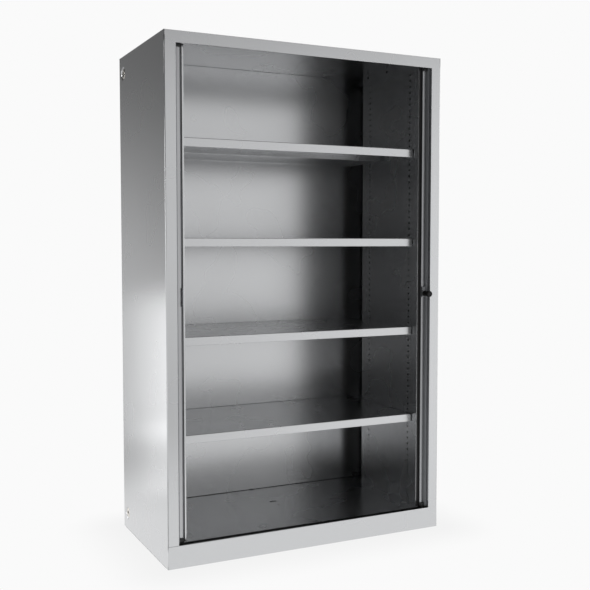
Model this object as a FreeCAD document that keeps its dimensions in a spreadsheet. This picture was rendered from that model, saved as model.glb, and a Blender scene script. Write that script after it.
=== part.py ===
import FreeCAD, Part
import math
import os
import re
import Sketcher

# Steel cupboard with two side-opening tambour doors, shown open.
# X runs to the right, Y to the rear and Z up; the origin is on the floor under the middle of the whole box.
# Depths below are measured from the front face of the carcass; right-hand pieces are mirrored to the left.

doc = FreeCAD.newDocument("tambour_cabinet")
sheet = doc.addObject("Spreadsheet::Sheet", "dims")

sizes = (
    # carcass sheet metal
    ("width", 1200.0, "carcass, left to right"),
    ("depth", 600.0, "carcass, front face to rear face"),
    ("height", 1980.0, "floor to top"),
    ("gauge", 1.0, "carcass sheet steel"),
    ("fold_radius", 2.0, "outside of a folded corner"),
    ("stile_width", 44.0, "front stile beside the opening"),
    ("stile_return", 12.0, "fold behind the edges of stiles and rail"),
    ("rail_height", 43.5, "front rail under the top"),
    ("plinth_height", 86.3, "plinth, level with the floor panel"),
    ("plinth_cheek", 15.0, "plinth fold round each front corner"),
    ("rear_flange", 18.0, "side panel's fold at the rear"),
    ("rear_drop", 20.0, "top panel's fold at the rear"),
    ("floor_flange", 15.0, "side panel's fold on the floor"),
    ("floor_flange_inset", 25.0, "ends of that fold from front and rear"),
    ("back_recess", 10.0, "rear face to the back panel's front"),
    ("back_margin", 2.0, "back panel's edge to the side panel"),
    ("back_rise", 22.0, "floor to the back panel's lower edge"),
    ("sheet_gap", 0.5, "between sheets that are fitted, not welded"),
    ("cut_margin", 10.0, "cuts run this far past open faces"),
    # recessed rear fixings
    ("dish_diameter", 46.0, "mouth of the pressed dish"),
    ("dish_floor", 34.0, "flat bottom of the dish"),
    ("dish_depth", 4.0, "depth of the dish"),
    ("dish_rear", 54.0, "dish centre to the rear face"),
    ("dish_low", 70.0, "lower dish above the floor"),
    ("dish_high", 70.0, "upper dish below the top"),
    ("bolt_diameter", 8.0, "corner screw shank"),
    ("bolt_head", 14.0, "corner screw head"),
    ("bolt_head_height", 2.5, "corner screw head"),
    ("nut_width", 13.0, "corner nut across flats"),
    ("nut_height", 4.2, "corner nut"),
    ("bracket_plate", 2.0, "corner bracket steel"),
    ("bracket_height", 48.0, "corner bracket"),
    ("bracket_leg", 20.0, "corner bracket leg on the back panel"),
    ("bolt_gap", 0.1, "hole around a screw"),
    # base
    ("channel_outer", 12.0, "base channel to the outside of the cabinet"),
    ("channel_width", 48.0, "base channel"),
    ("channel_wall", 2.0, "base channel and cross rail steel"),
    ("bracket_stop", 2.0, "base channel to the back panel"),
    ("rear_rail_width", 30.0, "rear cross rail"),
    ("deck_edge", 27.0, "floor panel's edge to the outside of the cabinet"),
    ("deck_front", 30.0, "front face to the floor panel"),
    ("hole_diameter", 6.0, "holes in the floor panel"),
    ("hole_side_inset", 21.0, "outer hole to the inner panel's face"),
    ("hole_side_depth", 356.0, "outer hole"),
    ("hole_middle_depth", 316.0, "middle hole"),
    ("slot_middle_depth", 372.0, "middle slot"),
    ("slot_middle_length", 26.0, "middle slot"),
    # levelling feet
    ("foot_inset", 60.0, "foot from front and rear"),
    ("pad_diameter", 36.0, "foot pad"),
    ("pad_height", 8.0, "foot pad"),
    ("stud_diameter", 10.0, "foot stud"),
    ("stud_top", 69.0, "foot stud's end above the floor"),
    ("bush_diameter", 18.0, "threaded bush for the stud"),
    ("bush_height", 20.0, "threaded bush for the stud"),
    ("running_gap", 0.05, "around a turning or sliding shaft"),
    # slotted inner panels
    ("pocket_width", 85.0, "outside of the cabinet to the inner panel's face"),
    ("inner_front", 34.0, "inner panel's front edge"),
    ("inner_rear", 492.0, "inner panel's rear edge"),
    ("inner_flange", 20.0, "inner panel's folded edges"),
    ("slot_pitch", 25.0, "shelf slots, one above the other"),
    ("slot_top", 50.0, "highest slot stays this far below the top"),
    ("slot_first", 122.0, "lowest slot above the floor"),
    ("slot_length", 10.0, "shelf slot"),
    ("slot_height", 4.0, "shelf slot"),
    ("slot_front", 101.0, "front column of slots"),
    ("slot_rear", 427.0, "rear column of slots"),
    ("hanger_front", 286.0, "front hanger of the inner panel"),
    ("hanger_rear", 448.0, "rear hanger of the inner panel"),
    ("hanger_width", 28.0, "hanger"),
    ("hanger_leg", 16.0, "hanger under the folded edge"),
    ("hanger_height", 28.0, "hanger behind the inner panel"),
    ("hanger_plate", 2.0, "hanger steel"),
    ("rivet_drop", 14.0, "rivet below the top"),
    ("rivet_diameter", 4.0, "rivet shank"),
    ("rivet_head", 9.0, "rivet head"),
    ("rivet_head_height", 1.6, "rivet head"),
    # shelves
    ("shelf_count", 4.0, "shelves above the floor panel"),
    ("shelf_front", 70.0, "front face to the shelf"),
    ("shelf_rear_gap", 5.0, "shelf to the back panel"),
    ("shelf_end_gap", 2.5, "shelf to the inner panel"),
    ("shelf_lip", 33.0, "shelf's folded edge"),
    ("shelf_return", 14.0, "shelf's fold under its edge"),
    ("shelf_slot_first", 13.0, "slots below the lowest shelf's slot"),
    ("shelf_slot_step", 15.0, "slots from shelf to shelf"),
    ("stiffener_depth", 326.0, "stiffener's middle"),
    ("stiffener_width", 16.0, "stiffener under the shelf"),
    ("stiffener_height", 30.0, "stiffener under the shelf"),
    ("stiffener_end", 14.0, "stiffener's end to the shelf's end"),
    ("clip_rise", 2.0, "slot's middle to the shelf's underside"),
    ("clip_width", 14.0, "shelf clip"),
    ("clip_plate", 1.5, "shelf clip steel"),
    ("clip_ledge", 14.0, "shelf clip under the shelf"),
    ("clip_leg", 16.0, "shelf clip below the shelf"),
    ("clip_tab", 8.0, "tab in the slot, front to rear"),
    ("clip_tab_height", 3.0, "tab in the slot"),
    ("clip_tab_reach", 3.5, "tab through the inner panel"),
    # tambour track and slats
    ("track_depth", 22.0, "front face to the line of the slats"),
    ("bend_radius", 24.5, "slat line round the front corner"),
    ("groove_width", 9.0, "track groove"),
    ("track_wall", 1.5, "track beside the groove"),
    ("track_floor", 2.0, "track behind the groove"),
    ("track_height", 13.0, "track moulding"),
    ("track_drop", 0.8, "lower track below the plinth's edge"),
    ("track_rise", 8.5, "upper track above the rail's edge"),
    ("track_rear_gap", 5.0, "end of the track to the back panel"),
    ("apron_drop", 3.0, "track apron below the track's edge"),
    ("head_wall", 1.2, "head channel steel"),
    ("slat_pitch", 15.0, "slat and joint"),
    ("slat_gap", 0.6, "joint between slats"),
    ("slat_thickness", 6.0, "slat"),
    ("slat_back", 10.4, "slat's width at the back"),
    ("slat_bevel", 1.5, "bevel on the slat's front edges"),
    ("slat_rear_gap", 30.0, "last slat stays this far from the track's end"),
    ("slide_gap", 0.5, "slat and guide shoe above the groove's floor"),
    ("head_gap", 1.0, "slat and guide shoe below the upper groove"),
    # leading edge of each door
    ("edge_width", 29.0, "leading edge profile"),
    ("edge_lap", 1.5, "profile behind the stile when open"),
    ("edge_front", 15.0, "front face to the profile"),
    ("edge_thickness", 16.0, "profile, front to rear"),
    ("edge_face", 5.0, "profile's front wall"),
    ("edge_wall", 1.8, "profile's other walls"),
    ("edge_gap", 0.7, "profile's end cap above the floor panel"),
    ("rib_width", 3.0, "rib at the closing edge"),
    ("finger_width", 2.5, "groove beside the rib"),
    ("finger_depth", 3.0, "groove beside the rib"),
    ("cap_thickness", 2.0, "end cap on the profile"),
    ("plug_length", 14.0, "end cap's plug in the profile"),
    ("plug_gap", 0.2, "plug in the profile"),
    ("tongue_inset", 3.5, "guide tongue from the profile's sides"),
    ("strip_width", 4.0, "closing strip"),
    ("strip_thickness", 2.0, "closing strip"),
    ("strip_inset", 0.8, "closing strip from the profile's rear"),
    ("bumper_width", 10.0, "door bumper"),
    ("bumper_height", 18.0, "door bumper"),
    ("bumper_gap", 0.5, "bumper to the profile"),
    ("bumper_inset", 3.0, "bumper from the inner panel's face"),
    ("bumper_step", 610.0, "from bumper to bumper"),
    # lock
    ("lock_height", 1000.0, "lock above the floor"),
    ("lock_inset", 13.5, "lock from the profile's closing side"),
    ("knob_reach", 20.0, "knob in front of the carcass"),
    ("knob_diameter", 26.0, "knob head"),
    ("knob_head", 14.0, "knob head, front to rear"),
    ("knob_round", 3.5, "knob's front rounding"),
    ("neck_diameter", 17.0, "knob's neck"),
    ("spindle_diameter", 8.0, "knob's spindle"),
    ("key_width", 2.2, "key slot"),
    ("key_length", 9.0, "key slot"),
    ("key_depth", 3.0, "key slot"),
    ("barrel_diameter", 17.0, "lock barrel"),
    ("barrel_flange", 22.0, "lock barrel's flange"),
    ("barrel_flange_height", 2.5, "lock barrel's flange"),
    ("lock_nut_width", 20.0, "lock nut across flats"),
    ("lock_nut_height", 2.0, "lock nut"),
    ("cam_width", 10.0, "cam"),
    ("cam_plate", 2.5, "cam"),
    ("cam_length", 27.0, "cam beyond its spindle"),
    ("cam_tail", 6.0, "cam behind its spindle"),
    ("cam_screw_diameter", 4.0, "cam screw"),
    ("cam_screw_head", 8.0, "cam screw's head"),
    ("cam_screw_head_height", 2.2, "cam screw's head"),
    ("cam_screw_length", 7.0, "cam screw in the spindle"),
    ("cam_slot_gap", 1.0, "slot around the cam"),
    ("strike_thickness", 1.5, "strike plate"),
    ("strike_margin", 14.0, "strike plate above and below its slot"),
    ("strike_screw", 3.0, "strike screw"),
    ("strike_screw_head", 5.4, "strike screw's head"),
    ("strike_screw_length", 6.0, "strike screw"),
)
for row, (alias, number, note) in enumerate(sizes, 1):
    sheet.set(f"A{row}", alias)
    sheet.set(f"B{row}", str(number))
    sheet.set(f"C{row}", note)
    sheet.setAlias(f"B{row}", alias)
doc.recompute()


# Tools for expressions on the sheet


def cells(words):
    return re.sub(r"[a-z][a-z_]*", r"dims.\g<0>", str(words))


def bind(piece, prop, words):
    piece.setExpression(prop, cells(words))


def value(words):
    return float(sheet.evalExpression(cells(words)))


def rearward(words):
    return f"({words}) + (knob_reach - depth) / 2"


def place(piece, x, d, z):
    bind(piece, "Placement.Base.x", x)
    bind(piece, "Placement.Base.y", rearward(d))
    bind(piece, "Placement.Base.z", z)
    return piece


# Tools for solids: low and high corners and centres are (across, depth, height)


def box(name, low, high):
    piece = doc.addObject("Part::Box", name)
    for side, a, b in zip(("Length", "Width", "Height"), low, high):
        bind(piece, side, f"({b}) - ({a})")
    return place(piece, *low)


turns = {
    "x": FreeCAD.Rotation(FreeCAD.Vector(0, 1, 0), 90),
    "y": FreeCAD.Rotation(FreeCAD.Vector(1, 0, 0), -90),
    "z": FreeCAD.Rotation(),
}


def cylinder(name, along, start, length, diameter, angle="360"):
    piece = doc.addObject("Part::Cylinder", name)
    piece.Placement = FreeCAD.Placement(FreeCAD.Vector(), turns[along])
    bind(piece, "Radius", f"({diameter}) / 2")
    bind(piece, "Height", length)
    bind(piece, "Angle", angle)
    return place(piece, *start)


def cone(name, along, start, length, diameter, end_diameter):
    piece = doc.addObject("Part::Cone", name)
    piece.Placement = FreeCAD.Placement(FreeCAD.Vector(), turns[along])
    bind(piece, "Radius1", f"({diameter}) / 2")
    bind(piece, "Radius2", f"({end_diameter}) / 2")
    bind(piece, "Height", length)
    return place(piece, *start)


def hexagon(name, along, start, length, flats):
    piece = doc.addObject("Part::Prism", name)
    piece.Polygon = 6
    piece.Placement = FreeCAD.Placement(FreeCAD.Vector(), turns[along])
    bind(piece, "Circumradius", f"({flats}) / {math.sqrt(3)}")
    bind(piece, "Height", length)
    return place(piece, *start)


def fuse(name, *pieces):
    joined = doc.addObject("Part::MultiFuse", name)
    joined.Shapes = list(pieces)
    joined.Refine = True
    return joined


def cut(name, base, *tools):
    tool = tools[0] if len(tools) == 1 else fuse(f"{name}_cuts", *tools)
    result = doc.addObject("Part::Cut", name)
    result.Base = base
    result.Tool = tool
    return result


def compound(name, *pieces):
    group = doc.addObject("Part::Compound", name)
    group.Links = list(pieces)
    return group


def mirrored(name, source):
    copy = doc.addObject("Part::Mirroring", name)
    copy.Source = source
    copy.Normal = FreeCAD.Vector(1, 0, 0)
    return copy


def hollow(name, low, high, inner_low, inner_high):
    return cut(name, box(f"{name}_outer", low, high), box(f"{name}_inner", inner_low, inner_high))


def outline(body, name, points):
    sketch = body.newObject("Sketcher::SketchObject", name)
    plane = next(f for f in body.Origin.OriginFeatures if f.Role == "XY_Plane")
    sketch.AttachmentSupport = [(plane, "")]
    sketch.MapMode = "FlatFace"
    corners = [FreeCAD.Vector(value(x), value(y), 0) for x, y in points]
    count = len(corners)
    for i in range(count):
        sketch.addGeometry(Part.LineSegment(corners[i], corners[(i + 1) % count]), False)
    for i in range(count):
        sketch.addConstraint(Sketcher.Constraint("Coincident", i, 2, (i + 1) % count, 1))
    for i, (x, y) in enumerate(points):
        across = ("DistanceX", x, -2, corners[i].x)
        upward = ("DistanceY", y, -1, corners[i].y)
        for kind, words, axis, number in (across, upward):
            if words == "0":
                sketch.addConstraint(Sketcher.Constraint("PointOnObject", i, 1, axis))
                continue
            index = sketch.addConstraint(Sketcher.Constraint(kind, -1, 1, i, 1, number))
            sketch.setExpression(f"Constraints[{index}]", cells(words))
    return sketch


def prism(name, points, bottom, top):
    body = doc.addObject("PartDesign::Body", name)
    sketch = outline(body, f"{name}_outline", [(x, rearward(d)) for x, d in points])
    bind(sketch, "AttachmentOffset.Base.z", bottom)
    pad = body.newObject("PartDesign::Pad", f"{name}_pad")
    pad.Profile = sketch
    bind(pad, "Length", f"({top}) - ({bottom})")
    sketch.Visibility = False
    return body


def rounded(body, radius, wanted):
    doc.recompute()
    base = body.Tip
    edges = [f"Edge{i}" for i, edge in enumerate(base.Shape.Edges, 1) if wanted(edge)]
    fillet = body.newObject("PartDesign::Fillet", f"{body.Name}_fold")
    fillet.Base = (base, edges)
    bind(fillet, "Radius", radius)
    return body


def upright_at(x, d):
    spot = FreeCAD.Vector(value(x), value(rearward(d)), 0)

    def wanted(edge):
        ends = [v.Point for v in edge.Vertexes]
        return all(math.hypot(p.x - spot.x, p.y - spot.y) < 0.01 for p in ends)

    return wanted


def turned(name, points, x, d, z):
    body = doc.addObject("PartDesign::Body", name)
    sketch = outline(body, f"{name}_outline", points)
    spin = body.newObject("PartDesign::Revolution", f"{name}_spin")
    spin.Profile = sketch
    spin.ReferenceAxis = (sketch, ["V_Axis"])
    spin.Angle = 360
    sketch.Visibility = False
    return place(body, x, d, z)


nodes = []


def node(name, piece):
    piece.Label = name
    nodes.append(piece)
    return piece


def pair(name, piece):
    node(f"right_{name}", piece)
    node(f"left_{name}", mirrored(f"left_{name}", piece))


# Places that several pieces share

half = "width / 2"
skin = "width / 2 - gauge"
opening = "width / 2 - stile_width"
ceiling = "height - gauge"
deck = "plinth_height"
back = "depth - back_recess"
margin = "cut_margin"
inner_x = "width / 2 - pocket_width"
foot_x = "width / 2 - channel_outer - channel_width / 2"

edge_outer = f"{opening} + edge_lap"
edge_inner = f"{edge_outer} - edge_width"
edge_rear = "edge_front + edge_thickness"
bend_x = f"{edge_outer} + slat_gap"
bend_depth = "track_depth + bend_radius"
side_run = f"{bend_x} + bend_radius"
groove_half = "groove_width / 2"
track_half = "groove_width / 2 + track_wall"
track_end = f"{back} - track_rear_gap"
lower_track = "plinth_height - track_drop - track_height"
lower_top = "plinth_height - track_drop"
lower_groove = f"{lower_track} + track_floor"
upper_track = "height - rail_height + track_rise"
upper_top = f"{upper_track} + track_height"
upper_groove = f"{upper_top} - track_floor"

dish_depth_place = "depth - dish_rear"
dish_inside = f"{half} - dish_depth - gauge"
bracket_inside = f"{dish_inside} - bracket_plate"
dish_heights = ("dish_low", "height - dish_high")

channel_high = f"{half} - channel_outer"
channel_low = f"{channel_high} - channel_width"
channel_end = f"{back} - bracket_stop"

# Side panels: skin, stile with its return, rear and floor folds, two pressed dishes

side_points = [
    (f"{half} - rear_flange", "depth"),
    (half, "depth"),
    (half, "0.0"),
    (opening, "0.0"),
    (opening, "stile_return"),
    (f"{opening} + gauge", "stile_return"),
    (f"{opening} + gauge", "gauge"),
    (skin, "gauge"),
    (skin, "depth - gauge"),
    (f"{half} - rear_flange", "depth - gauge"),
]
side = prism("right_side_sheet", side_points, "0.0", ceiling)
rounded(side, "fold_radius", upright_at(half, "0"))
floor_fold = box(
    "right_floor_fold",
    (f"{half} - gauge - floor_flange", "floor_flange_inset", "0"),
    (skin, "depth - floor_flange_inset", "gauge"),
)
plinth_notch = box(
    "right_plinth_notch",
    (f"{opening} - {margin}", f"-{margin}", f"-{margin}"),
    (f"{half} + {margin}", "plinth_cheek", "plinth_height"),
)
cups = []
hollows = [plinth_notch]
for i, z in enumerate(dish_heights):
    mouth = (dish_inside, dish_depth_place, z)
    floor = (f"{half} - dish_depth", dish_depth_place, z)
    outer = ("dish_floor + 2 * gauge", "dish_diameter + 2 * gauge")
    cups.append(cone(f"right_cup_{i}", "x", mouth, "dish_depth + gauge", *outer))
    hollows.append(cone(f"right_hollow_{i}", "x", floor, "dish_depth", "dish_floor", "dish_diameter"))
    hollows.append(
        cylinder(f"right_bolt_hole_{i}", "x", mouth, "dish_depth + gauge", "bolt_diameter + 2 * bolt_gap")
    )
pair("side_panel", cut("right_side_panel", fuse("right_side_whole", side, floor_fold, *cups), *hollows))

# Top panel with the front rail, and the plinth

top_sheet = prism(
    "top_sheet",
    [(f"-{half}", "0.0"), (half, "0.0"), (half, "depth"), (f"-{half}", "depth")],
    ceiling,
    "height",
)
rounded(top_sheet, "fold_radius", lambda e: upright_at(half, "0")(e) or upright_at(f"-{half}", "0")(e))
rail = box("front_rail", (f"-({opening})", "0", "height - rail_height"), (opening, "gauge", "height"))
rail_return = box(
    "front_rail_return",
    (f"-({opening})", "0", "height - rail_height"),
    (opening, "stile_return", "height - rail_height + gauge"),
)
rear_edge = f"{half} - rear_flange - sheet_gap"
rear_drop = box(
    "rear_drop_fold",
    (f"-({rear_edge})", "depth - gauge", "height - rear_drop"),
    (rear_edge, "depth", "height"),
)
node("top_panel", fuse("top_panel", top_sheet, rail, rail_return, rear_drop))

plinth_points = [
    (f"-{half}", "plinth_cheek"),
    (f"-{half}", "0.0"),
    (half, "0.0"),
    (half, "plinth_cheek"),
    (skin, "plinth_cheek"),
    (skin, "gauge"),
    (f"-({skin})", "gauge"),
    (f"-({skin})", "plinth_cheek"),
]
plinth = prism("plinth", plinth_points, "0.0", "plinth_height")
rounded(plinth, "fold_radius", lambda e: upright_at(half, "0")(e) or upright_at(f"-{half}", "0")(e))
node("plinth", plinth)

# Back panel: a shallow tray between the rear folds

back_x = f"{skin} - back_margin"
back_top = f"{ceiling} - gauge"
node(
    "back_panel",
    hollow(
        "back_panel",
        (f"-({back_x})", back, "back_rise"),
        (back_x, "depth - gauge", back_top),
        (f"-({back_x} - gauge)", f"{back} + gauge", "back_rise + gauge"),
        (f"{back_x} - gauge", f"depth + {margin}", f"{back_top} - gauge"),
    ),
)

# Base: side channels, cross rails and the floor panel

pair(
    "base_channel",
    hollow(
        "right_base_channel",
        (channel_low, "gauge", "gauge"),
        (channel_high, channel_end, lower_track),
        (f"{channel_low} + channel_wall", "0", "0"),
        (f"{channel_high} - channel_wall", back, f"{lower_track} - channel_wall"),
    ),
)
node(
    "front_cross_rail",
    hollow(
        "front_cross_rail",
        (f"-({channel_low})", "gauge", "gauge"),
        (channel_low, "deck_front - sheet_gap", lower_track),
        (f"-({half})", "gauge + channel_wall", "0"),
        (half, "deck_front - sheet_gap - channel_wall", f"{lower_track} - channel_wall"),
    ),
)
node(
    "rear_cross_rail",
    hollow(
        "rear_cross_rail",
        (f"-({channel_low})", f"{channel_end} - rear_rail_width", "gauge"),
        (channel_low, channel_end, f"{deck} - gauge"),
        (f"-({half})", f"{channel_end} - rear_rail_width + channel_wall", "0"),
        (half, f"{channel_end} - channel_wall", f"{deck} - gauge - channel_wall"),
    ),
)
deck_x = f"{half} - deck_edge"
deck_rear = f"{back} - sheet_gap"
deck_tray = hollow(
    "floor_tray",
    (f"-({deck_x})", "deck_front", lower_track),
    (deck_x, deck_rear, deck),
    (f"-({deck_x} - gauge)", "deck_front + gauge", f"{lower_track} - {margin}"),
    (f"{deck_x} - gauge", f"{deck_rear} - gauge", f"{deck} - gauge"),
)
hole_x = f"{inner_x} - hole_side_inset"
hole_places = (
    (f"-({hole_x})", "hole_side_depth"),
    (hole_x, "hole_side_depth"),
    ("0", "hole_middle_depth"),
)
deck_holes = [
    cylinder(f"deck_hole_{i}", "z", (x, d, f"{deck} - 2 * gauge"), "4 * gauge", "hole_diameter")
    for i, (x, d) in enumerate(hole_places)
]
deck_holes.append(
    box(
        "deck_slot",
        ("-slot_middle_length / 2", "slot_middle_depth - hole_diameter / 2", f"{deck} - 2 * gauge"),
        ("slot_middle_length / 2", "slot_middle_depth + hole_diameter / 2", f"{deck} + 2 * gauge"),
    )
)
right_notch = box(
    "right_deck_notch",
    (f"{bend_x} - sheet_gap", f"deck_front - {margin}", "0"),
    (half, f"{bend_depth} + sheet_gap", f"{deck} + {margin}"),
)
left_notch = mirrored("left_deck_notch", right_notch)
node("floor_panel", cut("floor_panel", deck_tray, right_notch, left_notch, *deck_holes))

# Levelling feet in threaded bushes under the base channels

bush_top = f"{lower_track} - channel_wall"
foot_depths = {"front": "foot_inset", "rear": "depth - foot_inset"}
bushes = []
for end, d in foot_depths.items():
    bottom = (foot_x, d, f"{bush_top} - bush_height")
    bush = cut(
        f"right_{end}_bush",
        cylinder(f"right_{end}_bush_body", "z", bottom, "bush_height", "bush_diameter"),
        cylinder(f"right_{end}_bush_bore", "z", bottom, "bush_height", "stud_diameter + 2 * running_gap"),
    )
    bushes += [bush, mirrored(f"left_{end}_bush", bush)]
    pad_base = (foot_x, d, "0")
    pad = cone(f"right_{end}_foot_pad", "z", pad_base, "pad_height", "pad_diameter", "bush_diameter")
    stud_base = (foot_x, d, "pad_height")
    stud = cylinder(f"right_{end}_foot_stud", "z", stud_base, "stud_top - pad_height", "stud_diameter")
    pair(f"{end}_foot_pad", pad)
    pair(f"{end}_foot_stud", stud)
node("foot_bushes", compound("foot_bushes", *bushes))

# Corner brackets behind the dishes, with their screws and nuts

brackets = []
screws = []
nuts = []
for i, z in enumerate(dish_heights):
    low = f"{z} - bracket_height / 2"
    high = f"{z} + bracket_height / 2"
    plate = box(
        f"bracket_plate_{i}",
        (bracket_inside, f"{dish_depth_place} - bracket_height / 2", low),
        (dish_inside, back, high),
    )
    leg = box(
        f"bracket_leg_{i}",
        (f"{dish_inside} - bracket_leg", f"{back} - bracket_plate", low),
        (dish_inside, back, high),
    )
    inside = (bracket_inside, dish_depth_place, z)
    hole = cylinder(f"bracket_hole_{i}", "x", inside, "bracket_plate", "bolt_diameter + 2 * bolt_gap")
    bracket = cut(f"right_bracket_{i}", fuse(f"bracket_whole_{i}", plate, leg), hole)
    nut_start = (f"{bracket_inside} - nut_height", dish_depth_place, z)
    nut = cut(
        f"right_nut_{i}",
        hexagon(f"nut_body_{i}", "x", nut_start, "nut_height", "nut_width"),
        cylinder(f"nut_bore_{i}", "x", nut_start, "nut_height", "bolt_diameter + 2 * bolt_gap"),
    )
    shank = "nut_height + bracket_plate + gauge + bolt_head_height"
    seat = (f"{half} - dish_depth", dish_depth_place, z)
    screw = fuse(
        f"right_screw_{i}",
        cylinder(f"screw_shank_{i}", "x", nut_start, shank, "bolt_diameter"),
        cylinder(f"screw_head_{i}", "x", seat, "bolt_head_height", "bolt_head"),
    )
    for group, piece in ((brackets, bracket), (screws, screw), (nuts, nut)):
        group += [piece, mirrored(f"left_{piece.Name}", piece)]
node("corner_brackets", compound("corner_brackets", *brackets))
node("corner_screws", compound("corner_screws", *screws))
node("corner_nuts", compound("corner_nuts", *nuts))

# Inner panels with their columns of shelf slots, hangers and rivets

slot_rows = 1 + math.floor(value("(height - slot_top - slot_first) / slot_pitch"))
slot_size = (value("3 * gauge"), value("slot_length"), value("slot_height"))
slot_shapes = []
for column in ("slot_front", "slot_rear"):
    for row in range(slot_rows):
        corner = FreeCAD.Vector(
            value(f"{inner_x} - gauge"),
            value(rearward(f"{column} - slot_length / 2")),
            value(f"slot_first + {row} * slot_pitch - slot_height / 2"),
        )
        slot_shapes.append(Part.makeBox(*slot_size, corner))
slot_cutter = doc.addObject("Part::Feature", "slot_cutter")
slot_cutter.Shape = Part.makeCompound(slot_shapes)

inner_tray = hollow(
    "right_inner_tray",
    (inner_x, "inner_front", deck),
    (f"{inner_x} + inner_flange", "inner_rear", ceiling),
    (f"{inner_x} + gauge", "inner_front + gauge", f"{deck} + gauge"),
    (f"{inner_x} + inner_flange + {margin}", "inner_rear - gauge", f"{ceiling} - gauge"),
)
rivets = []
hangers = []
rivet_holes = []
rivet_z = "height - rivet_drop"
for i, d in enumerate(("hanger_front", "hanger_rear")):
    near = f"{d} - hanger_width / 2"
    away = f"{d} + hanger_width / 2"
    top = f"{ceiling} - gauge"
    upright = box(
        f"hanger_upright_{i}",
        (f"{inner_x} + gauge", near, f"{top} - hanger_height"),
        (f"{inner_x} + gauge + hanger_plate", away, top),
    )
    shelf_leg = box(
        f"hanger_leg_{i}",
        (f"{inner_x} + gauge", near, f"{top} - hanger_plate"),
        (f"{inner_x} + gauge + hanger_leg", away, top),
    )
    start = (inner_x, d, rivet_z)
    reach = "gauge + hanger_plate"
    hole = cylinder(f"rivet_hole_{i}", "x", start, reach, "rivet_diameter + 2 * bolt_gap")
    rivet_holes.append(hole)
    hanger = cut(f"right_hanger_{i}", fuse(f"hanger_whole_{i}", upright, shelf_leg), hole)
    head = (f"{inner_x} - rivet_head_height", d, rivet_z)
    rivet = fuse(
        f"right_rivet_{i}",
        cylinder(f"rivet_shank_{i}", "x", start, reach, "rivet_diameter"),
        cylinder(f"rivet_head_{i}", "x", head, "rivet_head_height", "rivet_head"),
    )
    hangers += [hanger, mirrored(f"left_hanger_{i}", hanger)]
    rivets += [rivet, mirrored(f"left_rivet_{i}", rivet)]
pair("inner_panel", cut("right_inner_panel", inner_tray, slot_cutter, *rivet_holes))
node("panel_hangers", compound("panel_hangers", *hangers))
node("panel_rivets", compound("panel_rivets", *rivets))

# Shelves: folded trays with a stiffener, on four clips each

shelf_x = f"{inner_x} - shelf_end_gap"
shelf_rear = f"{back} - shelf_rear_gap"
stiffeners = []
clips = []
for i in range(round(value("shelf_count"))):
    slot_z = f"slot_first + (shelf_slot_first + {i} * shelf_slot_step) * slot_pitch"
    under = f"{slot_z} + clip_rise"
    top = f"{under} + shelf_lip"
    tray = hollow(
        f"shelf_tray_{i}",
        (f"-({shelf_x})", "shelf_front", under),
        (shelf_x, shelf_rear, top),
        (f"-({shelf_x} - gauge)", "shelf_front + gauge", f"{under} + gauge"),
        (f"{shelf_x} - gauge", f"{shelf_rear} - gauge", f"{top} - gauge"),
    )
    underside = box(
        f"shelf_underside_{i}",
        (f"-({shelf_x} - shelf_return)", "shelf_front + shelf_return", f"{under} - {margin}"),
        (f"{shelf_x} - shelf_return", f"{shelf_rear} - shelf_return", f"{under} + 2 * gauge"),
    )
    node(f"shelf_{i + 1}", cut(f"shelf_{i + 1}", tray, underside))
    stiff_low = f"{top} - gauge - stiffener_height"
    stiff_x = f"{shelf_x} - stiffener_end"
    stiffeners.append(
        hollow(
            f"stiffener_{i}",
            (f"-({stiff_x})", "stiffener_depth - stiffener_width / 2", stiff_low),
            (stiff_x, "stiffener_depth + stiffener_width / 2", f"{top} - gauge"),
            (f"-({half})", "stiffener_depth - stiffener_width / 2 + gauge", f"{stiff_low} + gauge"),
            (half, "stiffener_depth + stiffener_width / 2 - gauge", top),
        )
    )
    for column in ("slot_front", "slot_rear"):
        name = f"{column}_clip_{i}"
        near = f"{column} - clip_width / 2"
        away = f"{column} + clip_width / 2"
        corner = (inner_x, away, under)
        tab_low = (f"{inner_x} - clip_plate", f"{column} - clip_tab / 2", f"{slot_z} - clip_tab_height / 2")
        tab_high = (
            f"{inner_x} + clip_tab_reach",
            f"{column} + clip_tab / 2",
            f"{slot_z} + clip_tab_height / 2",
        )
        clip = fuse(
            f"right_{name}",
            box(f"{name}_ledge", (f"{inner_x} - clip_ledge", near, f"{under} - clip_plate"), corner),
            box(f"{name}_leg", (f"{inner_x} - clip_plate", near, f"{under} - clip_leg"), corner),
            box(f"{name}_tab", tab_low, tab_high),
        )
        clips += [clip, mirrored(f"left_{name}", clip)]
node("shelf_stiffeners", compound("shelf_stiffeners", *stiffeners))
node("shelf_clips", compound("shelf_clips", *clips))

# Tracks: a groove along the front, round the corner and down the side


def ring(name, inner, outer, low, high):
    centre = (bend_x, bend_depth, low)
    height = f"({high}) - ({low})"
    quarter = cut(
        name,
        cylinder(f"{name}_outer", "z", centre, height, f"2 * ({outer})", "90"),
        cylinder(f"{name}_inner", "z", centre, height, f"2 * ({inner})", "90"),
    )
    front_corner = FreeCAD.Rotation(FreeCAD.Vector(0, 0, 1), -90)
    for part in (quarter.Base, quarter.Tool):
        part.Placement = FreeCAD.Placement(part.Placement.Base, front_corner)
    return quarter


def run(name, half_width, low, high):
    inner = f"bend_radius - ({half_width})"
    outer = f"bend_radius + ({half_width})"
    front = box(
        f"{name}_front",
        ("0", f"track_depth - ({half_width})", low),
        (bend_x, f"track_depth + {half_width}", high),
    )
    side = box(
        f"{name}_side",
        (f"{side_run} - ({half_width})", bend_depth, low),
        (f"{side_run} + {half_width}", track_end, high),
    )
    return fuse(name, front, ring(f"{name}_bend", inner, outer, low, high), side)


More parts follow.
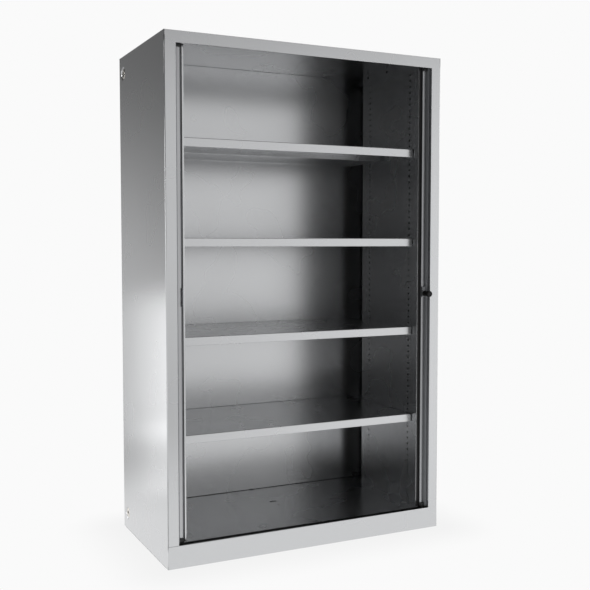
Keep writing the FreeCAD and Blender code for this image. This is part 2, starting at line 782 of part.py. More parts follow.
apron_depth = f"track_depth - {groove_half} - track_wall / 2"
apron = box(
    "lower_apron",
    ("0", "gauge", lower_track),
    (f"{opening} - sheet_gap", apron_depth, f"{lower_top} - apron_drop"),
)
lower_solid = fuse("lower_track_solid", run("lower_track_run", track_half, lower_track, lower_top), apron)
lower_channel = run("lower_track_groove", groove_half, lower_groove, f"{lower_top} + {margin}")
pair("lower_track", cut("right_lower_track", lower_solid, lower_channel))
upper_solid = run("upper_track_run", track_half, upper_track, upper_top)
upper_channel = run("upper_track_groove", groove_half, f"{upper_track} - {margin}", upper_groove)
pair("upper_track", cut("right_upper_track", upper_solid, upper_channel))

# Head channels that carry the upper tracks under the top panel

head_x = f"{side_run} + {track_half}"
node(
    "front_head_channel",
    hollow(
        "front_head_channel",
        (f"-({head_x})", f"track_depth - ({track_half})", upper_top),
        (head_x, f"track_depth + {track_half}", ceiling),
        (f"-({half})", f"track_depth - ({track_half}) + head_wall", f"{upper_top} + head_wall"),
        (half, f"track_depth + {track_half} - head_wall", f"{ceiling} - head_wall"),
    ),
)
pair(
    "head_channel",
    hollow(
        "right_head_channel",
        (f"{side_run} - ({track_half})", f"track_depth + {track_half}", upper_top),
        (head_x, track_end, ceiling),
        (f"{side_run} - ({track_half}) + head_wall", "0", f"{upper_top} + head_wall"),
        (f"{head_x} - head_wall", "depth", f"{ceiling} - head_wall"),
    ),
)

# Tambour slats, each a rigid strip, stored round the bend and along the side

slat_low = value(f"{lower_groove} + slide_gap")
slat_high = value(f"{upper_groove} - head_gap")
pitch = value("slat_pitch")
radius = value("bend_radius")
bend_centre = FreeCAD.Vector(value(bend_x), value(rearward(bend_depth)), 0)


def on_bend(angle):
    return bend_centre + FreeCAD.Vector(radius * math.sin(angle), -radius * math.cos(angle), 0)


joints = [on_bend(0)]
step = 2 * math.asin(pitch / (2 * radius))
angle = step
while angle <= math.pi / 2:
    joints.append(on_bend(angle))
    angle += step
sideways = bend_centre.x + radius - joints[-1].x
joints.append(FreeCAD.Vector(bend_centre.x + radius, joints[-1].y + math.sqrt(pitch**2 - sideways**2), 0))
stored_end = value(rearward(f"{track_end} - slat_rear_gap"))
while joints[-1].y + pitch <= stored_end:
    joints.append(joints[-1] + FreeCAD.Vector(0, pitch, 0))

face_half = value("(slat_pitch - slat_gap) / 2")
back_half = value("slat_back / 2")
thick_half = value("slat_thickness / 2")
bevel = value("slat_bevel")
slat_corners = [
    (-face_half, thick_half - bevel),
    (-face_half + bevel, thick_half),
    (face_half - bevel, thick_half),
    (face_half, thick_half - bevel),
    (back_half, -thick_half),
    (-back_half, -thick_half),
]
slat_wire = Part.makePolygon([FreeCAD.Vector(x, -y, slat_low) for x, y in slat_corners + slat_corners[:1]])
slat_shape = Part.Face(slat_wire).extrude(FreeCAD.Vector(0, 0, slat_high - slat_low))
slat_copies = []
for start, end in zip(joints, joints[1:]):
    along = end - start
    copy = slat_shape.copy()
    turn = FreeCAD.Rotation(FreeCAD.Vector(0, 0, 1), math.degrees(math.atan2(along.y, along.x)))
    copy.Placement = FreeCAD.Placement((start + end) * 0.5, turn)
    slat_copies.append(copy)
slats = doc.addObject("Part::Feature", "right_tambour_slats")
slats.Shape = Part.makeCompound(slat_copies)
pair("tambour_slats", slats)

# Leading edges: hollow profiles with a finger groove beside the closing rib

edge_low = f"{deck} + edge_gap + cap_thickness"
edge_high = f"{upper_track} - head_gap - cap_thickness"
cavity_low = (f"{edge_inner} + edge_wall", "edge_front + edge_face", edge_low)
cavity_high = (f"{edge_outer} - edge_wall", f"{edge_rear} - edge_wall", edge_high)
edge_points = [
    (edge_inner, "edge_front"),
    (f"{edge_inner} + rib_width", "edge_front"),
    (f"{edge_inner} + rib_width", "edge_front + finger_depth"),
    (f"{edge_inner} + rib_width + finger_width", "edge_front + finger_depth"),
    (f"{edge_inner} + rib_width + finger_width", "edge_front"),
    (edge_outer, "edge_front"),
    (edge_outer, edge_rear),
    (edge_inner, edge_rear),
]
lock_x = f"{edge_inner} + lock_inset"
nut_depth = "edge_front + edge_face"
cam_depth = f"{nut_depth} + lock_nut_height + bolt_gap"
slot_low = "lock_height - cam_width / 2 - cam_slot_gap"
slot_high = "lock_height + cam_length - cam_slot_gap"
cam_slot = box(
    "cam_slot",
    (f"{edge_inner} - {margin}", f"{cam_depth} - cam_slot_gap", slot_low),
    (f"{edge_inner} + 2 * edge_wall", f"{cam_depth} + cam_plate + cam_slot_gap", slot_high),
)
profile = cut(
    "profile",
    prism("profile_section", edge_points, edge_low, edge_high),
    box("profile_cavity", cavity_low, cavity_high),
    cam_slot,
)
barrel_mouth = (lock_x, "0", "lock_height")
barrel_hole = cylinder("barrel_hole", "y", barrel_mouth, nut_depth, "barrel_diameter + 2 * bolt_gap")
node("right_leading_edge", cut("right_leading_edge", profile, barrel_hole))

strike_low = f"{slot_low} - strike_margin"
strike_high = f"{slot_high} + strike_margin"
strike_front = "edge_front + rib_width / 2"
strike_rear = f"{edge_rear} - strip_inset - strip_width - sheet_gap"
strike_middle = f"({strike_front} + {strike_rear}) / 2"
strike_face = f"{edge_inner} - strike_thickness"
strike_screws = []
strike_holes = []
for i, z in enumerate((f"{slot_low} - strike_margin / 2", f"{slot_high} + strike_margin / 2")):
    start = (strike_face, strike_middle, z)
    bore = "strike_screw + 2 * bolt_gap"
    mouth = "strike_screw_head + 2 * bolt_gap"
    strike_holes.append(cylinder(f"strike_hole_{i}", "x", start, "strike_screw_length", bore))
    strike_holes.append(cone(f"strike_sink_{i}", "x", start, "strike_thickness", mouth, bore))
    shank = cylinder(f"strike_shank_{i}", "x", start, "strike_screw_length", "strike_screw")
    head = cone(f"strike_head_{i}", "x", start, "strike_thickness", "strike_screw_head", "strike_screw")
    screw = fuse(f"strike_screw_source_{i}", shank, head)
    strike_screws.append(mirrored(f"strike_screw_{i}", screw))
left_profile = cut("left_profile_source", profile, *strike_holes)
node("left_leading_edge", mirrored("left_leading_edge", left_profile))
strike_plate = cut(
    "strike_plate_source",
    box("strike_blank", (strike_face, strike_front, strike_low), (edge_inner, strike_rear, strike_high)),
    cam_slot,
    *strike_holes,
)
node("strike_plate", mirrored("strike_plate", strike_plate))
node("strike_screws", compound("strike_screws", *strike_screws))

# Guide shoes: end caps plugged into the profiles, with tongues in the track grooves

tongue_low = "track_depth - slat_thickness / 2"
tongue_high = "track_depth + slat_thickness / 2"
shoes = []
cap_bottom = f"{deck} + edge_gap"
cap_top = f"{upper_track} - head_gap"
levels = {
    "lower": (cap_bottom, edge_low, f"{edge_low} + plug_length", f"{lower_groove} + slide_gap", edge_low),
    "upper": (edge_high, cap_top, f"{edge_high} - plug_length", edge_high, f"{upper_groove} - head_gap"),
}
for name, (cap_low, cap_high, plug_end, low, high) in levels.items():
    plug = (plug_end, edge_high) if name == "upper" else (edge_low, plug_end)
    shoes.append(
        fuse(
            f"right_{name}_shoe",
            box(f"{name}_cap", (edge_inner, "edge_front", cap_low), (edge_outer, edge_rear, cap_high)),
            box(
                f"{name}_plug",
                (f"{edge_inner} + edge_wall + plug_gap", "edge_front + edge_face + plug_gap", plug[0]),
                (f"{edge_outer} - edge_wall - plug_gap", f"{edge_rear} - edge_wall - plug_gap", plug[1]),
            ),
            box(
                f"{name}_tongue",
                (f"{edge_inner} + tongue_inset", tongue_low, low),
                (f"{edge_outer} - tongue_inset", tongue_high, high),
            ),
        )
    )
pair("guide_shoes", compound("right_guide_shoes", *shoes))

# Closing strips on the meeting sides, and bumpers that stop the open doors

pair(
    "closing_strip",
    box(
        "right_closing_strip",
        (f"{edge_inner} - strip_thickness", f"{edge_rear} - strip_inset - strip_width", edge_low),
        (edge_inner, f"{edge_rear} - strip_inset", edge_high),
    ),
)
bumper_x = f"{inner_x} + bumper_inset"
bumpers = []
for i in (-1, 0, 1):
    z = f"lock_height + {i} * bumper_step"
    bumpers.append(
        box(
            f"bumper_{i + 1}",
            (bumper_x, f"{edge_rear} + bumper_gap", f"{z} - bumper_height / 2"),
            (f"{bumper_x} + bumper_width", "inner_front", f"{z} + bumper_height / 2"),
        )
    )
pair("door_bumpers", compound("right_door_bumpers", *bumpers))

# Lock on the right-hand profile: barrel and nut, and a knob that turns the cam


def on_lock(d):
    return (lock_x, d, "lock_height")


flange_depth = "edge_front - barrel_flange_height"
body_length = "edge_face + lock_nut_height"
bore_length = "barrel_flange_height + edge_face + lock_nut_height"
barrel = cut(
    "lock_barrel",
    fuse(
        "barrel_whole",
        cylinder("barrel_flange", "y", on_lock(flange_depth), "barrel_flange_height", "barrel_flange"),
        cylinder("barrel_body", "y", on_lock("edge_front"), body_length, "barrel_diameter"),
    ),
    cylinder("barrel_bore", "y", on_lock(flange_depth), bore_length, "spindle_diameter + 2 * running_gap"),
)
node("lock_barrel", barrel)
lock_nut = cut(
    "lock_nut",
    hexagon("lock_nut_body", "y", on_lock(nut_depth), "lock_nut_height", "lock_nut_width"),
    cylinder("lock_nut_bore", "y", on_lock(nut_depth), "lock_nut_height", "barrel_diameter + 2 * bolt_gap"),
)
node("lock_nut", lock_nut)

head_rear = "knob_head"
neck_end = f"knob_reach + {flange_depth} - bolt_gap"
spindle_end = f"knob_reach + {cam_depth}"
knob_points = [
    ("0", "0"),
    ("knob_diameter / 2 - knob_round", "0"),
    ("knob_diameter / 2", "knob_round"),
    ("knob_diameter / 2", f"{head_rear} - knob_round / 2"),
    ("knob_diameter / 2 - knob_round / 2", head_rear),
    ("neck_diameter / 2", head_rear),
    ("neck_diameter / 2", neck_end),
    ("spindle_diameter / 2", neck_end),
    ("spindle_diameter / 2", spindle_end),
    ("0", spindle_end),
]
knob_body = turned("knob_body", knob_points, lock_x, "-knob_reach", "lock_height")
key_slot = box(
    "key_slot",
    (f"{lock_x} - key_width / 2", f"-knob_reach - {margin}", "lock_height - key_length / 2"),
    (f"{lock_x} + key_width / 2", "key_depth - knob_reach", "lock_height + key_length / 2"),
)
screw_end = on_lock(f"{cam_depth} - cam_screw_length")
screw_hole = "cam_screw_diameter + 2 * bolt_gap"
screw_bore = cylinder("screw_bore", "y", screw_end, "cam_screw_length", screw_hole)
node("lock_knob", cut("lock_knob", knob_body, key_slot, screw_bore))
cam = cut(
    "lock_cam",
    box(
        "cam_blank",
        (f"{lock_x} - cam_width / 2", cam_depth, "lock_height - cam_tail"),
        (f"{lock_x} + cam_width / 2", f"{cam_depth} + cam_plate", "lock_height + cam_length"),
    ),
    cylinder("cam_hole", "y", on_lock(cam_depth), "cam_plate", screw_hole),
)
node("lock_cam", cam)
cap = on_lock(f"{cam_depth} + cam_plate")
cam_screw = fuse(
    "cam_screw",
    cylinder("cam_screw_shank", "y", screw_end, "cam_screw_length + cam_plate", "cam_screw_diameter"),
    cylinder("cam_screw_cap", "y", cap, "cam_screw_head_height", "cam_screw_head"),
)
node("cam_screw", cam_screw)

# Rebuild, test every object and write one file for each piece

doc.recompute()
failed = [o.Name for o in doc.Objects if {"Invalid", "Error"} & set(o.State)]
if failed:
    raise RuntimeError(f"these objects failed: {failed}")
for piece in nodes:
    if piece.Shape.isNull() or not piece.Shape.isValid():
        raise RuntimeError(f"{piece.Label} has no valid shape")
os.makedirs("parts", exist_ok=True)
for piece in nodes:
    piece.Shape.exportStep(os.path.join("parts", f"{piece.Label}.step"))
print(f"{len(nodes)} pieces written")
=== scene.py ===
import bmesh
import bpy
import math
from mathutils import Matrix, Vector


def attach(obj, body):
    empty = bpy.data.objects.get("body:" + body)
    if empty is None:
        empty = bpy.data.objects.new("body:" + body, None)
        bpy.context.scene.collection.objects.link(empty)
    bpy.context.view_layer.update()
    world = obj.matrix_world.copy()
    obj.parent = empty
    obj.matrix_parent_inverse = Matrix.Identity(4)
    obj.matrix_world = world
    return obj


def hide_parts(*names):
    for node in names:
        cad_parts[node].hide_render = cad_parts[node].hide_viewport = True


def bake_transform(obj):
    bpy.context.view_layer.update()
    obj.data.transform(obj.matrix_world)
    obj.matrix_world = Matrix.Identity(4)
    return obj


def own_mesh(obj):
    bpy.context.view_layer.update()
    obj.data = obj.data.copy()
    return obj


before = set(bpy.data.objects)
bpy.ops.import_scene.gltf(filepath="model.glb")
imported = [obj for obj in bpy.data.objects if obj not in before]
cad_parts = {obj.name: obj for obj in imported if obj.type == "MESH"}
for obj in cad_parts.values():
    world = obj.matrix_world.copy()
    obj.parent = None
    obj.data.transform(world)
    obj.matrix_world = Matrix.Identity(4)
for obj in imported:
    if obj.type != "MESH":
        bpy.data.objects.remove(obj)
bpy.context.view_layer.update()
mm = 0.001
print("frame loaded:", len(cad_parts), "nodes")


# Materials

def linearColour(hexText):
    shares = [int(hexText[i:i + 2], 16) / 255 for i in (1, 3, 5)]
    return [s / 12.92 if s <= 0.04045 else ((s + 0.055) / 1.055) ** 2.4 for s in shares] + [1.0]


def addNode(tree, kind, settings=None, links=None):
    node = tree.nodes.new(kind)
    for name, value in (settings or {}).items():
        if isinstance(name, str) and hasattr(node, name):
            setattr(node, name, value)
        else:
            node.inputs[name].default_value = value
    for name, socket in (links or {}).items():
        tree.links.new(socket, node.inputs[name])
    return node


def newMaterial(name, metallic=0.0, **sockets):
    material = bpy.data.materials.new(name)
    material.use_nodes = True
    tree = material.node_tree
    shader = tree.nodes["Principled BSDF"]
    for socket, value in {"Metallic": metallic, **sockets}.items():
        shader.inputs[socket].default_value = value
    place = addNode(tree, "ShaderNodeTexCoord").outputs["Object"]
    return material, tree, shader, place


def grainedMaterial(name, light, dark, rough, grain, stretch=(1, 1, 1), relief=0.0, metallic=0.0, **sockets):
    # a grain of the given size in millimetres varies the tone, the gloss and the relief together
    material, tree, shader, place = newMaterial(name, metallic, **sockets)
    along = addNode(tree, "ShaderNodeMapping", {"Scale": stretch}, {"Vector": place}).outputs["Vector"]
    noise = addNode(tree, "ShaderNodeTexNoise", {"Scale": 1 / (grain * mm), "Detail": 3.0}, {"Vector": along})
    spread = {"From Min": 0.3, "From Max": 0.7}
    share = addNode(tree, "ShaderNodeMapRange", spread, {"Value": noise.outputs["Fac"]}).outputs["Result"]
    tones = {"data_type": "RGBA", 6: linearColour(dark), 7: linearColour(light)}
    tone = addNode(tree, "ShaderNodeMix", tones, {0: share}).outputs[2]
    gloss = addNode(tree, "ShaderNodeMapRange", {"To Min": rough[1], "To Max": rough[0]}, {"Value": share})
    tree.links.new(tone, shader.inputs["Base Color"])
    tree.links.new(gloss.outputs["Result"], shader.inputs["Roughness"])
    if relief:
        depth = {"Strength": relief, "Distance": 0.2 * mm}
        bump = addNode(tree, "ShaderNodeBump", depth, {"Height": noise.outputs["Fac"]})
        tree.links.new(bump.outputs["Normal"], shader.inputs["Normal"])
    return material


def silverPaint(name, light, dark, rough):
    # aluminium-flake stove enamel on sheet steel: a soft grey mirror with a slight orange peel and faint clouds
    peel = {"grain": 3.0, "strength": 0.012, "depth": 0.2}  # drawn coarser than the real 1 mm so that it shows
    clouds = {"size": 260.0, "swing": 0.025}  # slow change of gloss where the spray overlapped
    flake = {"size": 1.2}  # flake sparkle, drawn coarser than the real 0.05 mm
    material, tree, shader, place = newMaterial(name, 1.0)
    cloud = addNode(tree, "ShaderNodeTexNoise", {"Scale": 1 / (clouds["size"] * mm), "Detail": 2.0}, {"Vector": place})
    swing = {"To Min": rough - clouds["swing"], "To Max": rough + clouds["swing"]}
    gloss = addNode(tree, "ShaderNodeMapRange", swing, {"Value": cloud.outputs["Fac"]})
    tree.links.new(gloss.outputs["Result"], shader.inputs["Roughness"])
    fleck = addNode(tree, "ShaderNodeTexVoronoi", {"Scale": 1 / (flake["size"] * mm)}, {"Vector": place})
    share = addNode(tree, "ShaderNodeSeparateColor", None, {"Color": fleck.outputs["Color"]}).outputs["Red"]
    tones = {"data_type": "RGBA", 6: linearColour(dark), 7: linearColour(light)}
    tone = addNode(tree, "ShaderNodeMix", tones, {0: share}).outputs[2]
    tree.links.new(tone, shader.inputs["Base Color"])
    skin = addNode(tree, "ShaderNodeTexNoise", {"Scale": 1 / (peel["grain"] * mm), "Detail": 1.0}, {"Vector": place})
    depth = {"Strength": peel["strength"], "Distance": peel["depth"] * mm}
    bump = addNode(tree, "ShaderNodeBump", depth, {"Height": skin.outputs["Fac"]})
    tree.links.new(bump.outputs["Normal"], shader.inputs["Normal"])
    return material


looks = {
    "silver_paint": silverPaint("silver_stove_enamel", "#c7c8c9", "#c1c2c4", 0.27),
    # extruded alloy, anodised natural: pale satin metal with fine die lines along its length
    "anodised_aluminium": grainedMaterial(
        "anodised_aluminium", "#b2b3b5", "#a8a9ab", (0.24, 0.32), 1.2, (1, 1, 0.004), 0.02, 1.0),
    # moulded acetal: deep black, fine spark-eroded grain, a dull sheen
    "black_acetal": grainedMaterial("black_acetal", "#1b1b1c", "#121213", (0.42, 0.55), 0.8, relief=0.05),
    # extruded rigid vinyl: light grey, satin, with faint drawing lines along each slat
    "grey_pvc": grainedMaterial("grey_rigid_vinyl", "#c3c5c6", "#b4b6b8", (0.36, 0.46), 1.6, (1, 1, 0.003), 0.03),
    # bright zinc plate: bluish grey metal with soft mottling from the bath
    "zinc_plated_steel": grainedMaterial(
        "zinc_plated_steel", "#c0c2c3", "#9fa2a6", (0.28, 0.42), 9.0, metallic=1.0),
    # black oxide on steel: almost black with a dull metal gleam
    "blackened_steel": grainedMaterial(
        "black_oxide_steel", "#3a3a3b", "#262627", (0.30, 0.42), 2.5, metallic=0.9),
    # moulded rubber: matt black, no gleam
    "black_rubber": grainedMaterial("black_rubber", "#1f1f20", "#161617", (0.7, 0.82), 1.4, relief=0.06),
    # moulded nylon: black with a fine grain and a satin gleam on its round edges
    "black_nylon": grainedMaterial(
        "black_nylon", "#141414", "#0c0c0d", (0.4, 0.52), 0.7, relief=0.06, **{"Specular IOR Level": 0.22}),
    # nickel plate over brass: warm bright mirror, slightly hazed by handling
    "nickel_plate": grainedMaterial("nickel_plate", "#d2cec8", "#c1bdb6", (0.14, 0.24), 4.0, metallic=1.0),
}
# the same alloy etched and anodised mid grey, for the leading edges' shoulders: matt, with hardly any mirror
greyAnodised = grainedMaterial(
    "grey_anodised_aluminium", "#8f9194", "#84868a", (0.42, 0.5), 1.2, (1, 1, 0.004), 0.02, 0.3)
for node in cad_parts.values():
    node.data.materials.clear()
print("materials made:", len(looks) + 1)


# Tools for pieces: each piece is modelled in millimetres and scaled once at the end

def near(value, target, gap=0.01):
    return abs(value - target) < gap


def edgesWhere(bm, test):
    return [edge for edge in bm.edges if all(test(v.co) for v in edge.verts)]


def roundEdges(bm, edges, radius, steps=3):  # only the rounds are shaded smooth, so the flats stay flat
    made = bmesh.ops.bevel(bm, geom=edges, offset=radius, offset_type="OFFSET", affect="EDGES", segments=steps,
                           profile=0.5, material=-1, clamp_overlap=True)
    for face in made["faces"]:
        face.smooth = True


def pushEdges(bm, edges, move):  # draws edges out into a new strip and returns the strip's far edges
    made = bmesh.ops.extrude_edge_only(bm, edges=edges)["geom"]
    fresh = {g for g in made if isinstance(g, bmesh.types.BMVert)}
    bmesh.ops.translate(bm, vec=move, verts=list(fresh))
    return [edge for edge in bm.edges if all(v in fresh for v in edge.verts)]


def sheetLine(points, low):  # a folded sheet seen from its end
    bm = bmesh.new()
    verts = [bm.verts.new((x, y, low)) for x, y in points]
    edges = [bm.edges.new(pair) for pair in zip(verts, verts[1:])]
    return bm, edges


def plateAt(bm, left, right, front, rear, height):
    verts = bmesh.ops.create_grid(bm, x_segments=1, y_segments=1, size=0.5)["verts"]
    bmesh.ops.scale(bm, vec=(right - left, rear - front, 1), verts=verts)
    bmesh.ops.translate(bm, vec=((left + right) / 2, (front + rear) / 2, height), verts=verts)
    return verts


def blockAt(bm, low, high):  # between two opposite corners
    low, high = Vector(low), Vector(high)
    verts = bmesh.ops.create_cube(bm, size=1)["verts"]
    bmesh.ops.scale(bm, vec=high - low, verts=verts)
    bmesh.ops.translate(bm, vec=(low + high) / 2, verts=verts)


def faceOutward(bm, outward):
    bmesh.ops.recalc_face_normals(bm, faces=bm.faces)
    largest = max(bm.faces, key=lambda face: face.calc_area())
    if largest.normal.dot(Vector(outward)) < 0:
        bmesh.ops.reverse_faces(bm, faces=bm.faces)


def cutAcross(bm, faces, point, normal):
    parts = set(faces)
    for face in faces:
        parts.update(face.edges, face.verts)
    bmesh.ops.bisect_plane(bm, geom=list(parts), plane_co=point, plane_no=normal)


def spun(bm, points, centre, axis, steps=32):  # points are (radius, way along the axis)
    along = Vector(axis)
    out = Vector((0, 1, 0)) if abs(along.x) > 0.5 else Vector((1, 0, 0))
    old = set(bm.verts)
    verts = [bm.verts.new(Vector(centre) + out * r + along * h) for r, h in points]
    edges = [bm.edges.new(pair) for pair in zip(verts, verts[1:])]
    bmesh.ops.spin(bm, geom=verts + edges, cent=centre, axis=along, dvec=(0, 0, 0), angle=math.tau, steps=steps,
                   use_merge=True, use_normal_flip=False, use_duplicate=False)
    bmesh.ops.remove_doubles(bm, verts=[v for v in bm.verts if v not in old], dist=0.001)
    made = [face for face in bm.faces if not any(v in old for v in face.verts)]
    bmesh.ops.recalc_face_normals(bm, faces=made)
    smoothRound(made)
    return made


def smoothRound(faces, sharpest=35):
    for face in faces:
        face.smooth = True
        for edge in face.edges:
            if len(edge.link_faces) == 2 and edge.calc_face_angle(0) > math.radians(sharpest):
                edge.smooth = False


def otherHand(bm):
    bmesh.ops.scale(bm, vec=(-1, 1, 1), verts=bm.verts)
    bmesh.ops.reverse_faces(bm, faces=bm.faces)


def addUpright(bm, points, low, high):  # a solid bar of this section
    foot = bm.faces.new([bm.verts.new((x, y, low)) for x, y in points])
    made = bmesh.ops.extrude_face_region(bm, geom=[foot], use_keep_orig=True)["geom"]
    raised = [g for g in made if isinstance(g, bmesh.types.BMVert)]
    bmesh.ops.translate(bm, vec=(0, 0, high - low), verts=raised)
    bmesh.ops.recalc_face_normals(bm, faces=bm.faces)


def finishPiece(name, bm, slotName, body="", replaced=(), wall=0.0, look=None):
    bmesh.ops.scale(bm, vec=(mm, mm, mm), verts=bm.verts)
    mesh = bpy.data.meshes.new(name)
    bm.to_mesh(mesh)
    bm.free()
    mesh.materials.append(look or looks[slotName])
    piece = bpy.data.objects.new(name, mesh)
    bpy.context.scene.collection.objects.link(piece)
    if wall:
        gauge = piece.modifiers.new("gauge", "SOLIDIFY")
        gauge.thickness = wall * mm
        gauge.offset = -1
        gauge.use_even_offset = True
    if body:
        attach(piece, body)
    if replaced:
        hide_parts(*replaced)
    return piece


# Carcass sheets

carcass = {"half": 600.0, "front": -290.0, "rear": 310.0, "top": 1980.0, "gauge": 1.0, "opening": 556.0,
           "railLow": 1936.5, "panelTop": 1979.0, "plinthTop": 86.3, "cheek": -275.0}


def sidePanel():  # right hand: plate, stile with its return, rear fold, floor fold and two pressed dishes
    panel = {"rearFold": 18, "stileReturn": 12, "frontRadius": 3.5, "rearRadius": 1.5, "returnRadius": 1.0,
             "floorFold": 16, "floorFoldEnd": 25}
    dish = {"y": 256, "heights": (70, 1910), "patch": 31, "mouth": 28, "floor": 22.5, "depth": 4, "lip": 1.4}
    half, front, rear, opening = (carcass[k] for k in ("half", "front", "rear", "opening"))
    low, rail, top = (carcass[k] for k in ("plinthTop", "railLow", "panelTop"))
    points = [(half - panel["rearFold"], rear), (half, rear), (half, carcass["cheek"]), (half, front),
              (opening, front), (opening, front + panel["stileReturn"])]
    bm, edges = sheetLine(points, 0)
    for step in (low, rail - low, top - rail):
        edges = pushEdges(bm, edges, (0, 0, step))
    spare = []
    for face in bm.faces:  # the plinth takes the foot of the stile, and the rail the top of its return
        middle = face.calc_center_median()
        if (middle.z < low and middle.y < carcass["cheek"]) or (middle.z > rail and near(middle.x, opening)):
            spare.append(face)
    bmesh.ops.delete(bm, geom=spare, context="FACES")
    rows = [e for e in bm.edges if len(e.link_faces) == 2 and near(e.verts[0].co.z, e.verts[1].co.z)
            and abs(e.verts[0].co.y - e.verts[1].co.y) > 100]
    bmesh.ops.dissolve_edges(bm, edges=rows, use_verts=False)
    faceOutward(bm, (1, 0, 0))
    upright = {"front": edgesWhere(bm, lambda v: near(v.x, half) and near(v.y, front)),
               "rear": edgesWhere(bm, lambda v: near(v.x, half) and near(v.y, rear)),
               "return": edgesWhere(bm, lambda v: near(v.x, opening) and near(v.y, front) and v.z < rail + 1)}
    for name, folds in upright.items():
        roundEdges(bm, folds, panel[name + "Radius"])
    reach = dish["patch"]
    cuts = [((0, dish["y"] + s * reach, 0), (0, 1, 0)) for s in (-1, 1)]
    cuts += [((0, 0, height + s * reach), (0, 0, 1)) for height in dish["heights"] for s in (-1, 1)]
    for place, normal in cuts:
        plate = [f for f in bm.faces if near(f.calc_center_median().x, half) and not f.smooth]
        cutAcross(bm, plate, place, normal)
    slope = math.atan2(dish["depth"], dish["mouth"] - dish["floor"])
    for height in dish["heights"]:
        centre = Vector((half, dish["y"], height))
        patch = min(bm.faces, key=lambda f: (f.calc_center_median() - centre).length)
        bmesh.ops.bisect_edges(bm, edges=patch.edges, cuts=7)
        for radius, sink in ((dish["mouth"], 0), (dish["floor"], dish["depth"])):
            bmesh.ops.inset_region(bm, faces=[patch], thickness=2, use_even_offset=True)
            for v in patch.verts:  # the inset outline is drawn to a round
                way = (v.co - centre) * Vector((0, 1, 1))
                v.co = centre + way.normalized() * radius - Vector((sink, 0, 0))
        rims = [e for e in bm.edges if all((v.co - centre).length < dish["mouth"] + 0.5 for v in e.verts)
                and len(e.link_faces) == 2 and e.calc_face_angle(0) > slope / 2]
        for face in {f for e in rims for f in e.link_faces if abs(f.normal.x) < 0.95}:
            face.smooth = True
        roundEdges(bm, rims, dish["lip"])
    foldFront, foldRear = front + panel["floorFoldEnd"], rear - panel["floorFoldEnd"]
    plateAt(bm, half - panel["floorFold"], half, foldRear, foldFront, 0)  # drawn backwards, so that it faces down
    return bm


for side in ("left", "right"):
    bm = sidePanel()
    if side == "left":
        otherHand(bm)
    finishPiece(f"{side}_side_sheet", bm, "silver_paint", "carcass", [f"{side}_side_panel"], carcass["gauge"])


def topPanel():  # plate with the front rail, its return and the rear drop
    panel = {"railReturn": 12, "rearDrop": 20, "rearEnd": 581.8, "frontRadius": 0.9, "railRadius": 1.0}
    half, front, rear, opening, top = (carcass[k] for k in ("half", "front", "rear", "opening", "top"))
    bm = bmesh.new()
    plateAt(bm, -half, half, front, rear, top)
    for x in (-panel["rearEnd"], -opening, opening, panel["rearEnd"]):
        cutAcross(bm, bm.faces[:], (x, 0, 0), (1, 0, 0))
    brow = pushEdges(bm, edgesWhere(bm, lambda v: near(v.y, front)), (0, 0, carcass["panelTop"] - top))
    middle = [e for e in brow if all(abs(v.co.x) < opening + 1 for v in e.verts)]
    sill = pushEdges(bm, middle, (0, 0, carcass["railLow"] - carcass["panelTop"]))
    sill = [e for e in sill if near(e.verts[0].co.z, e.verts[1].co.z)]
    pushEdges(bm, sill, (0, panel["railReturn"], 0))
    drop = edgesWhere(bm, lambda v: near(v.y, rear) and abs(v.x) < panel["rearEnd"] + 1)
    pushEdges(bm, drop, (0, 0, -panel["rearDrop"]))
    faceOutward(bm, (0, 0, 1))
    roundEdges(bm, edgesWhere(bm, lambda v: near(v.y, front) and near(v.z, top)), panel["frontRadius"])
    roundEdges(bm, edgesWhere(bm, lambda v: near(v.y, front) and near(v.z, carcass["railLow"])), panel["railRadius"])
    return bm


finishPiece("top_sheet", topPanel(), "silver_paint", "carcass", ["top_panel"], carcass["gauge"])


def plinthSheet():  # front board with a cheek at each end and a narrow fold along its top
    board = {"radius": 1.8, "topFold": 4.0}
    half, front, cheek, top = (carcass[k] for k in ("half", "front", "cheek", "plinthTop"))
    bm, edges = sheetLine([(-half, cheek), (-half, front), (half, front), (half, cheek)], 0)
    brow = pushEdges(bm, edges, (0, 0, top))
    long = [e for e in brow if e.calc_length() > half]
    pushEdges(bm, long, (0, board["topFold"], 0))
    faceOutward(bm, (0, -1, 0))
    roundEdges(bm, [e for e in bm.edges if len(e.link_faces) == 2 and e.calc_face_angle(0) > 1], board["radius"])
    return bm


finishPiece("plinth_sheet", plinthSheet(), "silver_paint", "carcass", ["plinth"], carcass["gauge"])
print("carcass sheets folded")


# Shelves: a plate with lips turned down all round and returns under them

